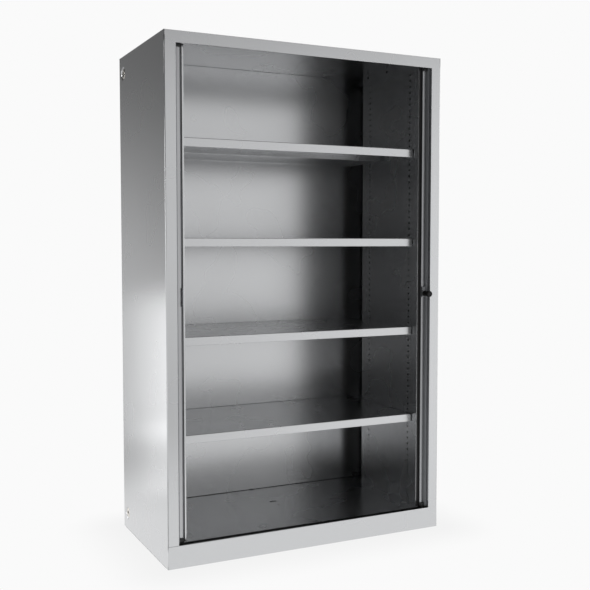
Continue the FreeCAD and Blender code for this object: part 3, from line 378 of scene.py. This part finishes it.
shelf = {"half": 512.5, "front": -220.0, "rear": 295.0, "lip": 33.0, "fold": 14.0, "tops": (482, 857, 1232, 1607),
         "corner": 4.0, "radius": 2.0, "cutBack": 9.0}
for number, top in enumerate(shelf["tops"], 1):
    bm = bmesh.new()
    blockAt(bm, (-shelf["half"], shelf["front"], top - shelf["lip"]), (shelf["half"], shelf["rear"], top))
    roundEdges(bm, [e for e in bm.edges if near(e.calc_length(), shelf["lip"])], shelf["corner"], 5)
    under = min(bm.faces, key=lambda f: f.calc_center_median().z)
    sides = [e for e in under.edges if e.calc_length() > shelf["fold"]]
    bmesh.ops.delete(bm, geom=[under], context="FACES_ONLY")
    middle = Vector((0, (shelf["front"] + shelf["rear"]) / 2, 0))
    for side in sides:  # each return runs in under its lip, with its ends cut back at the corners
        inward = (middle - (side.verts[0].co + side.verts[1].co) / 2) * Vector((1, 1, 0))
        inward.normalize()
        for free in pushEdges(bm, [side], inward * shelf["fold"]):
            ends = (free.verts[0].co - free.verts[1].co).normalized() * shelf["cutBack"]
            free.verts[0].co -= ends
            free.verts[1].co += ends
    folds = [e for e in bm.edges if len(e.link_faces) == 2 and e.calc_face_angle(0) > 1.2]
    roundEdges(bm, folds, shelf["radius"])
    finishPiece(f"shelf_{number}_sheet", bm, "silver_paint", "carcass", [f"shelf_{number}"], carcass["gauge"])
print("shelves folded:", len(shelf["tops"]))


# Inner panels: trays with two columns of shelf slots, drawn a little taller than punched so that they show

innerPanel = {"inner": 515.0, "outer": 535.0, "front": -256.0, "rear": 202.0, "low": 86.3, "high": 1979.0,
              "radius": 1.2, "columns": (-189.0, 137.0), "first": 122.0, "pitch": 25.0, "rows": 73,
              "slotLong": 11.0, "slotTall": 6.5}


def innerTray():  # right hand, open towards the pocket
    inner, outer, front, rear, low, high = (innerPanel[k] for k in ("inner", "outer", "front", "rear", "low", "high"))
    bm = bmesh.new()
    blockAt(bm, (inner, front, low), (outer, rear, high))
    bmesh.ops.delete(bm, geom=[f for f in bm.faces if near(f.calc_center_median().x, outer)], context="FACES")
    roundEdges(bm, edgesWhere(bm, lambda v: near(v.x, inner) and near(v.y, front)), innerPanel["radius"])
    for y in innerPanel["columns"]:
        for s in (-0.5, 0.5):
            cutAcross(bm, bm.faces[:], (0, y + s * innerPanel["slotLong"], 0), (0, 1, 0))
    for row in range(innerPanel["rows"]):
        for s in (-0.5, 0.5):
            z = innerPanel["first"] + row * innerPanel["pitch"] + s * innerPanel["slotTall"]
            cutAcross(bm, bm.faces[:], (0, 0, z), (0, 0, 1))
    slots = []
    for face in bm.faces:
        middle = face.calc_center_median()
        level = (middle.z - innerPanel["first"]) % innerPanel["pitch"]
        if near(middle.x, inner) and any(near(middle.y, y, 1) for y in innerPanel["columns"]) and (
                min(level, innerPanel["pitch"] - level) < 0.5):
            slots.append(face)
    bmesh.ops.delete(bm, geom=slots, context="FACES")
    return bm


for side in ("left", "right"):
    bm = innerTray()
    if side == "left":
        otherHand(bm)
    finishPiece(f"{side}_inner_tray", bm, "silver_paint", "carcass", [f"{side}_inner_panel"], carcass["gauge"])
print("inner panels slotted")


# Floor panel: a shallow tray with a slot and three holes, drawn a little larger than punched so that they show

floorPanel = {"half": 573.0, "front": -260.0, "rear": 299.5, "top": 86.3, "skirt": 13.8, "notch": (557.6, -243.0),
              "slotY": 82.0, "slotLong": 30.0, "slotDeep": 12.0, "holes": ((-494.0, 66.0), (494.0, 66.0), (0.0, 26.0)),
              "hole": 5.0, "patch": 8.0}
# painted shade: a thin black strip along the foot of the back, in place of the shadow line under it
shadowLineStrip = {"half": 572.0, "front": 298.4, "rear": 299.9, "low": 86.3, "high": 87.9}


def floorTray():
    half, front, rear = (floorPanel[k] for k in ("half", "front", "rear"))
    bm = bmesh.new()
    plateAt(bm, -half, half, front, rear, floorPanel["top"])
    notchX, notchY = floorPanel["notch"]
    for x in (-notchX, notchX):
        cutAcross(bm, bm.faces[:], (x, 0, 0), (1, 0, 0))
    cutAcross(bm, bm.faces[:], (0, notchY, 0), (0, 1, 0))
    middles = {face: face.calc_center_median() for face in bm.faces}
    corners = [face for face, middle in middles.items() if abs(middle.x) > notchX and middle.y < notchY]
    bmesh.ops.delete(bm, geom=corners, context="FACES")  # the tracks bend through the front corners
    rim = [e for e in bm.edges if len(e.link_faces) == 1  # the notches have no skirt
           and (e.verts[0].co.y > notchY + 1 or e.verts[1].co.y > notchY + 1 or e.calc_length() > half)]
    pushEdges(bm, rim, (0, 0, -floorPanel["skirt"]))
    faceOutward(bm, (0, 0, 1))
    reach, slotHalf = floorPanel["patch"], (floorPanel["slotLong"] / 2, floorPanel["slotDeep"] / 2)
    windows = [(Vector((x, y, floorPanel["top"])), (reach, reach)) for x, y in floorPanel["holes"]]
    windows.append((Vector((0, floorPanel["slotY"], floorPanel["top"])), slotHalf))
    for centre, halves in windows:
        for axis in (0, 1):
            normal = Vector((axis == 0, axis == 1, 0))
            for s in (-1, 1):
                plate = [f for f in bm.faces if f.normal.z > 0.9]
                cutAcross(bm, plate, centre + normal * s * halves[axis], normal)
    for centre, halves in windows:
        ways = {face: face.calc_center_median() - centre for face in bm.faces}
        spare = [f for f, way in ways.items() if abs(way.x) < halves[0] and abs(way.y) < halves[1] and near(way.z, 0)]
        if halves[0] == reach:
            bmesh.ops.bisect_edges(bm, edges=spare[0].edges, cuts=5)
            bmesh.ops.inset_region(bm, faces=spare, thickness=1, use_even_offset=True)
            for v in spare[0].verts:
                v.co = centre + (v.co - centre).normalized() * floorPanel["hole"]
        bmesh.ops.delete(bm, geom=spare, context="FACES")
    return bm


finishPiece("floor_tray", floorTray(), "silver_paint", "carcass", ["floor_panel"], carcass["gauge"])
bm = bmesh.new()
across, front, rear = shadowLineStrip["half"], shadowLineStrip["front"], shadowLineStrip["rear"]
section = ((-across, rear), (-across, front), (across, front), (across, rear))
addUpright(bm, section, shadowLineStrip["low"], shadowLineStrip["high"])  # painted shade: a black strip where the floor panel meets the back, standing in for the shadow line of the gap there
finishPiece("back_shadow_line_strip", bm, "black_rubber", "carcass")
print("floor panel laid")


# Leading edges: a dark shoulder and a dark lip with a bright ledge for the fingers set deep between them

edgeProfile = {"inner": 528.5, "lip": 531.0, "step": 548.4, "outer": 557.5, "front": -275.0, "lipFront": -264.0,
               "ledge": -261.5, "rear": -259.0, "ease": 1.0, "lipEase": 0.6, "low": 89.0, "high": 1942.0}
strikeFlange = {"low": 976.0, "high": 1046.0, "front": -274.2, "wall": 1.6}
camSlot = {"low": 993.5, "high": 1028.0, "front": -268.6, "rear": -264.6}
# black strip on the inner panels' front edges: partly the real seal with its bumpers, partly painted shade standing in
# for the shadow in the gap behind the leading edges; it reaches further in on the right than on the left to cover
# where that shade falls
sealAndShadeSizes = {"inner": {"left": 522.0, "right": 516.3}, "outer": 533.0, "bulb": (527.0, 530.0), "edge": -256.8,
             "front": -258.0, "padFront": -258.5, "pad": (524.5, 532.0), "padTall": 18.0, "pads": (390, 1000, 1610)}


def edgeBar(left, right, front, ease):  # a bar of the profile with its front corners eased
    bm = bmesh.new()
    rear = edgeProfile["rear"]
    section = ((left, rear), (left, front), (right, front), (right, rear))
    addUpright(bm, section, edgeProfile["low"], edgeProfile["high"])
    corners = edgesWhere(bm, lambda v: near(v.y, front))
    roundEdges(bm, [e for e in corners if abs(e.verts[0].co.z - e.verts[1].co.z) > 1], ease)
    return bm


for side in ("left", "right"):
    bars = {"shoulder": edgeBar(edgeProfile["step"], edgeProfile["outer"], edgeProfile["front"], edgeProfile["ease"]),
            "lip": edgeBar(edgeProfile["inner"], edgeProfile["lip"], edgeProfile["lipFront"], edgeProfile["lipEase"]),
            "ledge": edgeBar(edgeProfile["lip"], edgeProfile["step"], edgeProfile["ledge"], edgeProfile["lipEase"])}
    sealAndShade = bmesh.new()
    inner, outer, rear = sealAndShadeSizes["inner"][side], sealAndShadeSizes["outer"], innerPanel["front"]
    section = [(inner, rear), (inner, sealAndShadeSizes["edge"]), *((x, sealAndShadeSizes["front"]) for x in sealAndShadeSizes["bulb"]),
               (outer, sealAndShadeSizes["edge"]), (outer, rear)]
    addUpright(sealAndShade, section, edgeProfile["low"], edgeProfile["high"])
    for height in sealAndShadeSizes["pads"]:  # bumpers are thicker stretches of the strip
        nearX, farX = sealAndShadeSizes["pad"]
        section = [(nearX, rear), (nearX + 1, sealAndShadeSizes["padFront"]), (farX - 1, sealAndShadeSizes["padFront"]), (farX, rear)]
        addUpright(sealAndShade, section, height - sealAndShadeSizes["padTall"] / 2, height + sealAndShadeSizes["padTall"] / 2)
    if side == "left":
        for bm in (*bars.values(), sealAndShade):
            otherHand(bm)
    finishPiece(f"{side}_edge_shoulder", bars["shoulder"], "anodised_aluminium", f"{side}_door",
                [f"{side}_leading_edge"], look=greyAnodised)
    finishPiece(f"{side}_edge_lip", bars["lip"], "anodised_aluminium", f"{side}_door", look=greyAnodised)
    finishPiece(f"{side}_edge_ledge", bars["ledge"], "anodised_aluminium", f"{side}_door")
    finishPiece(f"{side}_seal_and_shade", sealAndShade, "black_rubber", "carcass", [f"{side}_door_bumpers"])

# the strike plate is screwed to a short flange, which has a slot for the cam
wallX = -edgeProfile["inner"]
bm, edges = sheetLine([(wallX, strikeFlange["front"]), (wallX, edgeProfile["lipFront"])], strikeFlange["low"])
pushEdges(bm, edges, (0, 0, strikeFlange["high"] - strikeFlange["low"]))
faceOutward(bm, (1, 0, 0))
for key, normal in (("low", (0, 0, 1)), ("high", (0, 0, 1)), ("front", (0, 1, 0)), ("rear", (0, 1, 0))):
    cutAcross(bm, bm.faces[:], Vector(normal) * camSlot[key], normal)
slotMiddle = Vector((wallX, (camSlot["front"] + camSlot["rear"]) / 2, (camSlot["low"] + camSlot["high"]) / 2))
slotFace = min(bm.faces, key=lambda f: (f.calc_center_median() - slotMiddle).length)
bmesh.ops.delete(bm, geom=[slotFace], context="FACES")
finishPiece("left_strike_flange", bm, "anodised_aluminium", "left_door", wall=strikeFlange["wall"], look=greyAnodised)
print("leading edges drawn")


# Lock knob: fluted head on a neck, with a key plug let into its face

knob = {"x": 542.0, "z": 1000.0, "face": -310.0, "radius": 13.0, "head": 14.0, "neck": 10.0, "neckEnd": 32.4,
        "rosette": 11.0, "rosetteThick": 1.4, "spindle": 4.0, "end": 42.0, "ease": 2.4, "backEase": 1.6, "fillet": 1.2,
        "recess": 1.2, "flute": 0.55, "flutes": 24}
bm = bmesh.new()
radius, head, neck, neckEnd, rosette, spindle, end = (
    knob[k] for k in ("radius", "head", "neck", "neckEnd", "rosette", "spindle", "end"))
rosetteFront = neckEnd - knob["rosetteThick"]
headProfile = [(0, knob["recess"]), (5.4, knob["recess"]), (5.8, 0.6), (6.4, 0), (radius - knob["ease"], 0),
               (radius - 0.7, 0.7), (radius, knob["ease"]), (radius, head - knob["backEase"]),
               (radius - 0.5, head - 0.5), (radius - knob["backEase"], head), (neck + knob["fillet"], head),
               (neck, head + knob["fillet"]), (neck, rosetteFront - 0.8), (neck + 0.8, rosetteFront),
               (rosette - 0.6, rosetteFront), (rosette, neckEnd - 0.8), (rosette, neckEnd), (spindle, neckEnd),
               (spindle, end), (0, end)]
made = spun(bm, headProfile, (knob["x"], knob["face"], knob["z"]), (0, 1, 0), 2 * knob["flutes"])
for v in {v for f in made for v in f.verts}:
    across, up = v.co.x - knob["x"], v.co.z - knob["z"]
    turn = round(math.atan2(up, across) / math.tau * 2 * knob["flutes"])
    if turn % 2 and math.hypot(across, up) > knob["radius"] - 0.6:
        shrink = 1 - knob["flute"] / knob["radius"]
        v.co.x, v.co.z = knob["x"] + across * shrink, knob["z"] + up * shrink
finishPiece("lock_knob_turned", bm, "black_nylon", "lock", ["lock_knob"])

plug = {"radius": 5.2, "proud": 0.5, "slotWide": 1.4, "slotTall": 6.4, "slotDeep": 2.5}
bm = bmesh.new()
bmesh.ops.create_circle(bm, cap_ends=True, radius=plug["radius"], segments=32)
for normal, size in (((1, 0, 0), plug["slotWide"]), ((0, 1, 0), plug["slotTall"])):
    for s in (0.5, -0.5):
        cutAcross(bm, bm.faces[:], Vector(normal) * s * size, normal)
rim = [e for e in bm.edges if len(e.link_faces) == 1]
pushEdges(bm, rim, (0, 0, -2 * plug["proud"]))
slotFace = min((f for f in bm.faces if abs(f.normal.z) > 0.5), key=lambda f: f.calc_center_median().length)
made = bmesh.ops.extrude_discrete_faces(bm, faces=[slotFace])["faces"]
bmesh.ops.translate(bm, vec=(0, 0, -plug["slotDeep"]), verts=made[0].verts)
for v in bm.verts:  # the disc lies flat while it is cut, then faces forward
    v.co = Vector((knob["x"] + v.co.x, knob["face"] + knob["recess"] - plug["proud"] - v.co.z, knob["z"] + v.co.y))
bmesh.ops.recalc_face_normals(bm, faces=bm.faces)
finishPiece("lock_key_plug", bm, "blackened_steel", "lock")

# the black barrel stands on a box that hides the cam
lockBarrel = {"radius": 10.2, "front": -277.4, "ease": 0.6, "flange": 1.2, "flangeRise": 1.6}
lockBox = {"low": 986.0, "high": 1029.5, "front": -270.3, "ease": 1.5, "wall": 1.2}
bm = bmesh.new()
depth = lockBox["front"] - lockBarrel["front"]
radius, flange = lockBarrel["radius"], lockBarrel["flange"]
barrelProfile = [(0, 0), (radius - lockBarrel["ease"], 0), (radius, lockBarrel["ease"]),
                 (radius, depth - lockBarrel["flangeRise"]), (radius + flange, depth - flange),
                 (radius + flange, depth), (0, depth)]
spun(bm, barrelProfile, (knob["x"], lockBarrel["front"], knob["z"]), (0, 1, 0), 40)
finishPiece("lock_barrel_turned", bm, "black_nylon", "right_door", ["lock_barrel"])
bm = bmesh.new()
left, right, front, rear = edgeProfile["lip"], edgeProfile["step"], lockBox["front"], edgeProfile["ledge"]
addUpright(bm, ((left, rear), (left, front), (right, front), (right, rear)), lockBox["low"], lockBox["high"])
sides = [f for f in bm.faces if abs(f.normal.x) > 0.5 or f.normal.y > 0.5]  # open where the cam swings out
bmesh.ops.delete(bm, geom=sides, context="FACES")
roundEdges(bm, [e for e in edgesWhere(bm, lambda v: near(v.y, front)) if len(e.link_faces) == 2], lockBox["ease"])
finishPiece("lock_box", bm, "anodised_aluminium", "right_door", wall=lockBox["wall"], look=greyAnodised)
print("lock knob turned")


# Screws in the dishes, and rivets of the inner panels

screw = {"seat": 596.0, "radius": 7.0, "head": 2.5, "socket": 2.6, "socketDeep": 1.5, "y": 256, "heights": (70, 1910),
         "shank": 3.0, "length": 11.0}
bm = bmesh.new()
radius, head, socket, shank = (screw[k] for k in ("radius", "head", "socket", "shank"))
dome = [(0, head - screw["socketDeep"]), (socket, head - screw["socketDeep"]), (socket, head - 0.1),
        (socket + 0.3, head), (radius * 0.62, head - 0.25), (radius * 0.88, head - 0.9), (radius, 0.9), (radius, 0),
        (shank, 0), (shank, -screw["length"]), (0, -screw["length"])]
for hand in (-1, 1):
    for height in screw["heights"]:
        spun(bm, dome, (hand * screw["seat"], screw["y"], height), (hand, 0, 0), 24)
finishPiece("corner_screws_turned", bm, "blackened_steel", "carcass", ["corner_screws"])

# bright cup washer that fills the dish round each screw
washer = {"bore": 7.6, "radius": 20.5, "crest": 3.2, "slope": 4.0}
bm = bmesh.new()
bore, radius, crest = (washer[k] for k in ("bore", "radius", "crest"))
bead = [(bore, 0), (bore, 1.2), (bore + 1.6, 2.4), (bore + washer["slope"], crest), (radius - washer["slope"], crest),
        (radius - 1.4, 2.2), (radius, 0.6), (radius, 0), (bore, 0)]
for hand in (-1, 1):
    for height in screw["heights"]:
        spun(bm, bead, (hand * screw["seat"], screw["y"], height), (hand, 0, 0), 32)
finishPiece("corner_washers_turned", bm, "nickel_plate", "carcass")

rivet = {"seat": 515.0, "radius": 6.0, "head": 1.6, "pin": 1.5, "pinDeep": 0.6, "shank": 1.6, "length": 3.0,
         "places": (-4.0, 158.0), "z": 1966.0}
bm = bmesh.new()
radius, head, pin, shank = (rivet[k] for k in ("radius", "head", "pin", "shank"))
dome = [(0, head - rivet["pinDeep"]), (pin, head - rivet["pinDeep"]), (pin, head), (radius * 0.6, head - 0.2),
        (radius * 0.9, head - 0.8), (radius, 0), (shank, 0), (shank, -rivet["length"]), (0, -rivet["length"])]
for hand in (-1, 1):
    for y in rivet["places"]:
        spun(bm, dome, (hand * rivet["seat"], y, rivet["z"]), (-hand, 0, 0), 24)
finishPiece("panel_rivets_turned", bm, "blackened_steel", "carcass", ["panel_rivets"])
print("screws and rivets turned")


# Levelling feet: a dished pad under a ringed stud

foot = {"x": 564.0, "places": {"front": -230.0, "rear": 250.0}, "pad": 18.0, "padHeight": 8.0, "ease": 1.5,
        "stud": 5.0, "root": 4.3, "pitch": 1.5, "studTop": 69.0}
pad, stud, padHeight = (foot[k] for k in ("pad", "stud", "padHeight"))
padProfile = [(0, 1.0), (pad - 5, 1.0), (pad - 4, 0), (pad - foot["ease"], 0), (pad, foot["ease"]), (pad, 3.0),
              (pad - 1.5, 4.6), (stud + 4, 6.2), (stud + 2.6, padHeight), (0, padHeight)]
thread = [(0, padHeight), (foot["root"], padHeight)]
for turn in range(int((foot["studTop"] - padHeight) / foot["pitch"])):
    rise = padHeight + turn * foot["pitch"]
    thread += [(stud, rise + 0.5 * foot["pitch"]), (foot["root"], rise + foot["pitch"])]
thread += [(foot["root"], foot["studTop"]), (0, foot["studTop"])]
for hand, side in ((-1, "left"), (1, "right")):
    for end, y in foot["places"].items():
        centre = (hand * foot["x"], y, 0)
        bm = bmesh.new()
        spun(bm, padProfile, centre, (0, 0, 1), 40)
        finishPiece(f"{side}_{end}_pad_turned", bm, "black_acetal", f"{side}_{end}_foot", [f"{side}_{end}_foot_pad"])
        bm = bmesh.new()
        spun(bm, thread, centre, (0, 0, 1), 20)
        finishPiece(f"{side}_{end}_stud_turned", bm, "zinc_plated_steel", f"{side}_{end}_foot",
                    [f"{side}_{end}_foot_stud"])
print("feet turned")


# Tambour curtains: the stored slats are a copy of the frame's slats, and the drawn curtain is set where it waits when
# the door is open

slat = {"pitch": 15.0, "gap": 0.6, "thick": 6.0, "bevel": 1.5, "back": 10.4, "count": 36, "low": 75.0, "high": 1955.0,
        "middle": -268.0, "first": 31.85}
draw = {"travel": 526.25, "start": 598.0, "run": 40.0}  # where the curtain leaves the pocket, in millimetres across


def restPlace(shut):  # where a point of the shut curtain waits when the door is open
    low, high = 0.0, 1.0
    for _ in range(60):
        t = (low + high) / 2
        reach = draw["start"] - draw["run"] * t - draw["travel"] * t * t * (3 - 2 * t)
        low, high = (t, high) if reach > shut else (low, t)
    return draw["start"] - draw["run"] * low


for hand, side in ((-1, "left"), (1, "right")):
    bm = bmesh.new()
    bm.from_mesh(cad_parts[f"{side}_tambour_slats"].data)
    bmesh.ops.remove_doubles(bm, verts=bm.verts, dist=0.01 * mm)
    bmesh.ops.dissolve_limit(bm, angle_limit=0.02, verts=bm.verts, edges=bm.edges)
    bmesh.ops.scale(bm, vec=(1 / mm, 1 / mm, 1 / mm), verts=bm.verts)
    stored = finishPiece(f"{side}_stored_slats", bm, "grey_pvc", "carcass", [f"{side}_tambour_slats"])
    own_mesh(stored)
    bm = bmesh.new()
    halfFace, halfBack, halfThick = (slat["pitch"] - slat["gap"]) / 2, slat["back"] / 2, slat["thick"] / 2
    section = [(-halfFace, slat["bevel"] - halfThick), (slat["bevel"] - halfFace, -halfThick),
               (halfFace - slat["bevel"], -halfThick), (halfFace, slat["bevel"] - halfThick), (halfBack, halfThick),
               (-halfBack, halfThick)]
    for number in range(slat["count"]):
        middle = slat["first"] + halfFace + number * slat["pitch"]
        outline = [(hand * (middle + x), slat["middle"] + y) for x, y in section]
        addUpright(bm, outline, slat["low"], slat["high"])
    for v in bm.verts:
        v.co.x = hand * restPlace(abs(v.co.x))
    curtain = finishPiece(f"{side}_drawn_curtain", bm, "grey_pvc")
    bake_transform(curtain)
print("curtains hung")


# The other pieces keep their own shape and get their material

slotOf = {name: "silver_paint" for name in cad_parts}
for name in slotOf:
    for part, slotName in (("track", "black_acetal"), ("guide_shoes", "black_acetal"), ("bushes", "zinc_plated_steel"),
                           ("brackets", "zinc_plated_steel"), ("nuts", "zinc_plated_steel"),
                           ("hangers", "zinc_plated_steel"), ("clips", "zinc_plated_steel"),
                           ("head_channel", "zinc_plated_steel"), ("bumpers", "black_rubber"),
                           ("closing_strip", "black_rubber"), ("strike", "zinc_plated_steel"),
                           ("lock_barrel", "nickel_plate"), ("lock_nut", "zinc_plated_steel"),
                           ("cam", "zinc_plated_steel"), ("slats", "grey_pvc"), ("leading", "anodised_aluminium"),
                           ("corner_screws", "blackened_steel"), ("rivets", "blackened_steel"),
                           ("foot_pad", "black_acetal"), ("foot_stud", "zinc_plated_steel"),
                           ("lock_knob", "black_nylon")):
        if part in name:
            slotOf[name] = slotName
for name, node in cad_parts.items():
    node.data.materials.append(looks[slotOf[name]])
print("materials given")


# Camera, floor and light

cameraView = {"place": (-1.6196, -3.4455, 1.2133), "yaw": 26.065, "pitch": -3.306, "lens": 55.04}
camera = bpy.data.objects.new("camera", bpy.data.cameras.new("camera"))
bpy.context.scene.collection.objects.link(camera)
camera.location = cameraView["place"]
camera.rotation_euler = (math.radians(90 + cameraView["pitch"]), 0, math.radians(-cameraView["yaw"]))
camera.data.lens = cameraView["lens"]
camera.data.sensor_width = 36
bpy.context.scene.camera = camera

bm = bmesh.new()
bmesh.ops.create_grid(bm, x_segments=1, y_segments=1, size=30)
mesh = bpy.data.meshes.new("floor")
bm.to_mesh(mesh)
bm.free()
floor = bpy.data.objects.new("floor", mesh)
bpy.context.scene.collection.objects.link(floor)
floorPaint = bpy.data.materials.new("studio_floor")
floorPaint.use_nodes = True
mesh.materials.append(floorPaint)

studio = {"pale": 0.956, "shade": 0.93, "shadeReach": 0.3, "pool": (-0.25, -0.5, 0), "near": 1.06, "nearEnd": 0.9,
          "farEnd": 2.5, "dimFar": 0.35, "brightFar": 1.2, "brightTurn": 0.0, "darkTurn": -118, "darkInside": 10,
          "darkOutside": 42, "darkStart": 1.3, "darkEnd": 2.6, "dark": 0.8, "allRound": 0.07, "overhead": 0.4,
          "overheadStart": 0.75, "overheadEnd": 0.97, "rightTurn": 20, "rightStart": 0.82, "rightEnd": 0.95,
          "footprint": (0.585, 0.285, 0), "underEdge": 0.004}
# walls of light: degrees round from +X, how far they spread, degrees up where they fade, how bright, and what is
# left of that towards the right
softWalls = [
    {"turn": 30, "inside": 45, "outside": 92, "low": -3, "high": 12, "level": 1.8, "above": 0.4, "rightward": 0.58},
    {"turn": -38, "inside": 26, "outside": 80, "low": 12, "high": 20, "level": 0.92, "above": 0.0, "rightward": 1.0},
]
softBoxes = {  # where each box stands, what it faces, how wide and tall it is, and how bright
    "back_left_box": {"place": (-1.85, 1.45, 0.45), "aim": (-0.6, -0.05, 0.45), "size": (1.5, 0.9), "level": 1.35},
    "left_box": {"place": (-2.6, 0.2, 0.8), "aim": (-0.6, -0.1, 0.8), "size": (1.0, 1.6), "level": 2.2},
    "fold_box": {"place": (-2.7, -0.75, 0.7), "aim": (-0.6, -0.29, 0.7), "size": (0.8, 1.3), "level": 2.4},
    "low_box": {"place": (-1.02, 0.65, 0.18), "aim": (-0.6, -0.25, 0.3), "size": (0.36, 0.34), "level": 0.55},
    "left_high_box": {"place": (-2.6, 0.45, 2.35), "aim": (-0.6, 0.25, 1.9), "size": (0.4, 0.4), "level": 6.0},
}


def aimed(turn):
    turn = math.radians(turn)
    return math.cos(turn), math.sin(turn), 0


def fade(tree, value, start, end, first, last):  # eases from one level to another
    ends = {"interpolation_type": "SMOOTHSTEP", "From Min": start, "From Max": end, "To Min": first, "To Max": last}
    return addNode(tree, "ShaderNodeMapRange", ends, {"Value": value}).outputs["Result"]


def combined(tree, operation, one, two):
    return addNode(tree, "ShaderNodeMath", {"operation": operation}, {0: one, 1: two}).outputs["Value"]


def alongWay(tree, place, turn):  # 1 straight along the turn, -1 the other way
    flat = addNode(tree, "ShaderNodeVectorMath", {"operation": "MULTIPLY", 1: (1, 1, 0)}, {0: place}).outputs[0]
    way = addNode(tree, "ShaderNodeVectorMath", {"operation": "NORMALIZE"}, {0: flat}).outputs[0]
    along = {"operation": "DOT_PRODUCT", 1: aimed(turn)}
    return addNode(tree, "ShaderNodeVectorMath", along, {0: way}).outputs["Value"]


def seenOrLit(tree, seen, lit):  # what the camera sees, and what lights the object
    ray = addNode(tree, "ShaderNodeLightPath").outputs["Is Camera Ray"]
    return addNode(tree, "ShaderNodeMix", {"data_type": "FLOAT"}, {0: ray, 2: lit, 3: seen}).outputs[0]


tree = floorPaint.node_tree
tree.nodes.clear()
place = addNode(tree, "ShaderNodeTexCoord").outputs["Object"]
pool = addNode(tree, "ShaderNodeVectorMath", {"operation": "SUBTRACT", 1: studio["pool"]}, {0: place}).outputs[0]
reach = addNode(tree, "ShaderNodeVectorMath", {"operation": "LENGTH"}, {0: pool}).outputs["Value"]
far = fade(tree, alongWay(tree, place, studio["brightTurn"]), -1, 1, studio["dimFar"], studio["brightFar"])
outside, inside = (math.cos(math.radians(studio[k])) for k in ("darkOutside", "darkInside"))
darkWay = fade(tree, alongWay(tree, place, studio["darkTurn"]), outside, inside, 0, studio["dark"])
dark = combined(tree, "MULTIPLY", darkWay, fade(tree, reach, studio["darkStart"], studio["darkEnd"], 0, 1))
lightPart = addNode(tree, "ShaderNodeMath", {"operation": "SUBTRACT", 0: 1.0}, {1: dark}).outputs["Value"]
blend = {0: fade(tree, reach, studio["nearEnd"], studio["farEnd"], 0, 1), 3: far}
glow = addNode(tree, "ShaderNodeMix", {"data_type": "FLOAT", 2: studio["near"]}, blend).outputs[0]
glow = combined(tree, "MULTIPLY", glow, lightPart)
folded = addNode(tree, "ShaderNodeVectorMath", {"operation": "ABSOLUTE"}, {0: place}).outputs[0]
past = addNode(tree, "ShaderNodeVectorMath", {"operation": "SUBTRACT", 1: studio["footprint"]}, {0: folded}).outputs[0]
past = addNode(tree, "ShaderNodeVectorMath", {"operation": "MAXIMUM", 1: (0, 0, 0)}, {0: past}).outputs[0]
away = addNode(tree, "ShaderNodeVectorMath", {"operation": "LENGTH"}, {0: past}).outputs["Value"]
shade = fade(tree, away, 0, studio["shadeReach"], studio["pale"] * studio["shade"], studio["pale"])
under = fade(tree, away, 0, studio["underEdge"], 0, 1)  # dark underneath
level = combined(tree, "MULTIPLY", seenOrLit(tree, shade, glow), under)
glowing = addNode(tree, "ShaderNodeEmission", None, {"Strength": level}).outputs[0]
addNode(tree, "ShaderNodeOutputMaterial", None, {"Surface": glowing})

bpy.context.scene.view_settings.view_transform = "Standard"
world = bpy.data.worlds.new("studio")
bpy.context.scene.world = world
world.use_nodes = True
tree = world.node_tree
shader = tree.nodes["Background"]
shader.inputs["Color"].default_value = (1, 1, 1, 1)
way = addNode(tree, "ShaderNodeTexCoord").outputs["Generated"]
rise = addNode(tree, "ShaderNodeSeparateXYZ", None, {0: way}).outputs["Z"]
total = fade(tree, rise, studio["overheadStart"], studio["overheadEnd"], studio["allRound"],
             studio["allRound"] + studio["overhead"])
for wall in softWalls:
    outside, inside = (math.cos(math.radians(wall[k])) for k in ("outside", "inside"))
    low, high = (math.sin(math.radians(wall[k])) for k in ("low", "high"))
    lit = combined(tree, "MULTIPLY", fade(tree, alongWay(tree, way, wall["turn"]), outside, inside, 0, 1),
                   fade(tree, rise, low, high, wall["level"], wall["above"]))
    rightWay = alongWay(tree, way, studio["rightTurn"])
    kept = fade(tree, rightWay, studio["rightStart"], studio["rightEnd"], 1, wall["rightward"])
    lit = combined(tree, "MULTIPLY", lit, kept)
    total = combined(tree, "ADD", total, lit)
ray = addNode(tree, "ShaderNodeLightPath").outputs["Is Camera Ray"]
level = addNode(tree, "ShaderNodeMix", {"data_type": "FLOAT", 3: studio["pale"]}, {0: ray, 2: total}).outputs[0]
tree.links.new(level, shader.inputs["Strength"])

for name, box in softBoxes.items():
    lamp = bpy.data.lights.new(name, "AREA")
    lamp.shape = "RECTANGLE"
    lamp.size, lamp.size_y = box["size"]
    lamp.energy = box["level"] * math.pi * lamp.size * lamp.size_y
    stand = bpy.data.objects.new(name, lamp)
    bpy.context.scene.collection.objects.link(stand)
    stand.location = box["place"]
    stand.rotation_euler = (Vector(box["aim"]) - Vector(box["place"])).to_track_quat("-Z", "Y").to_euler()
    stand.visible_camera = False
print("light set")
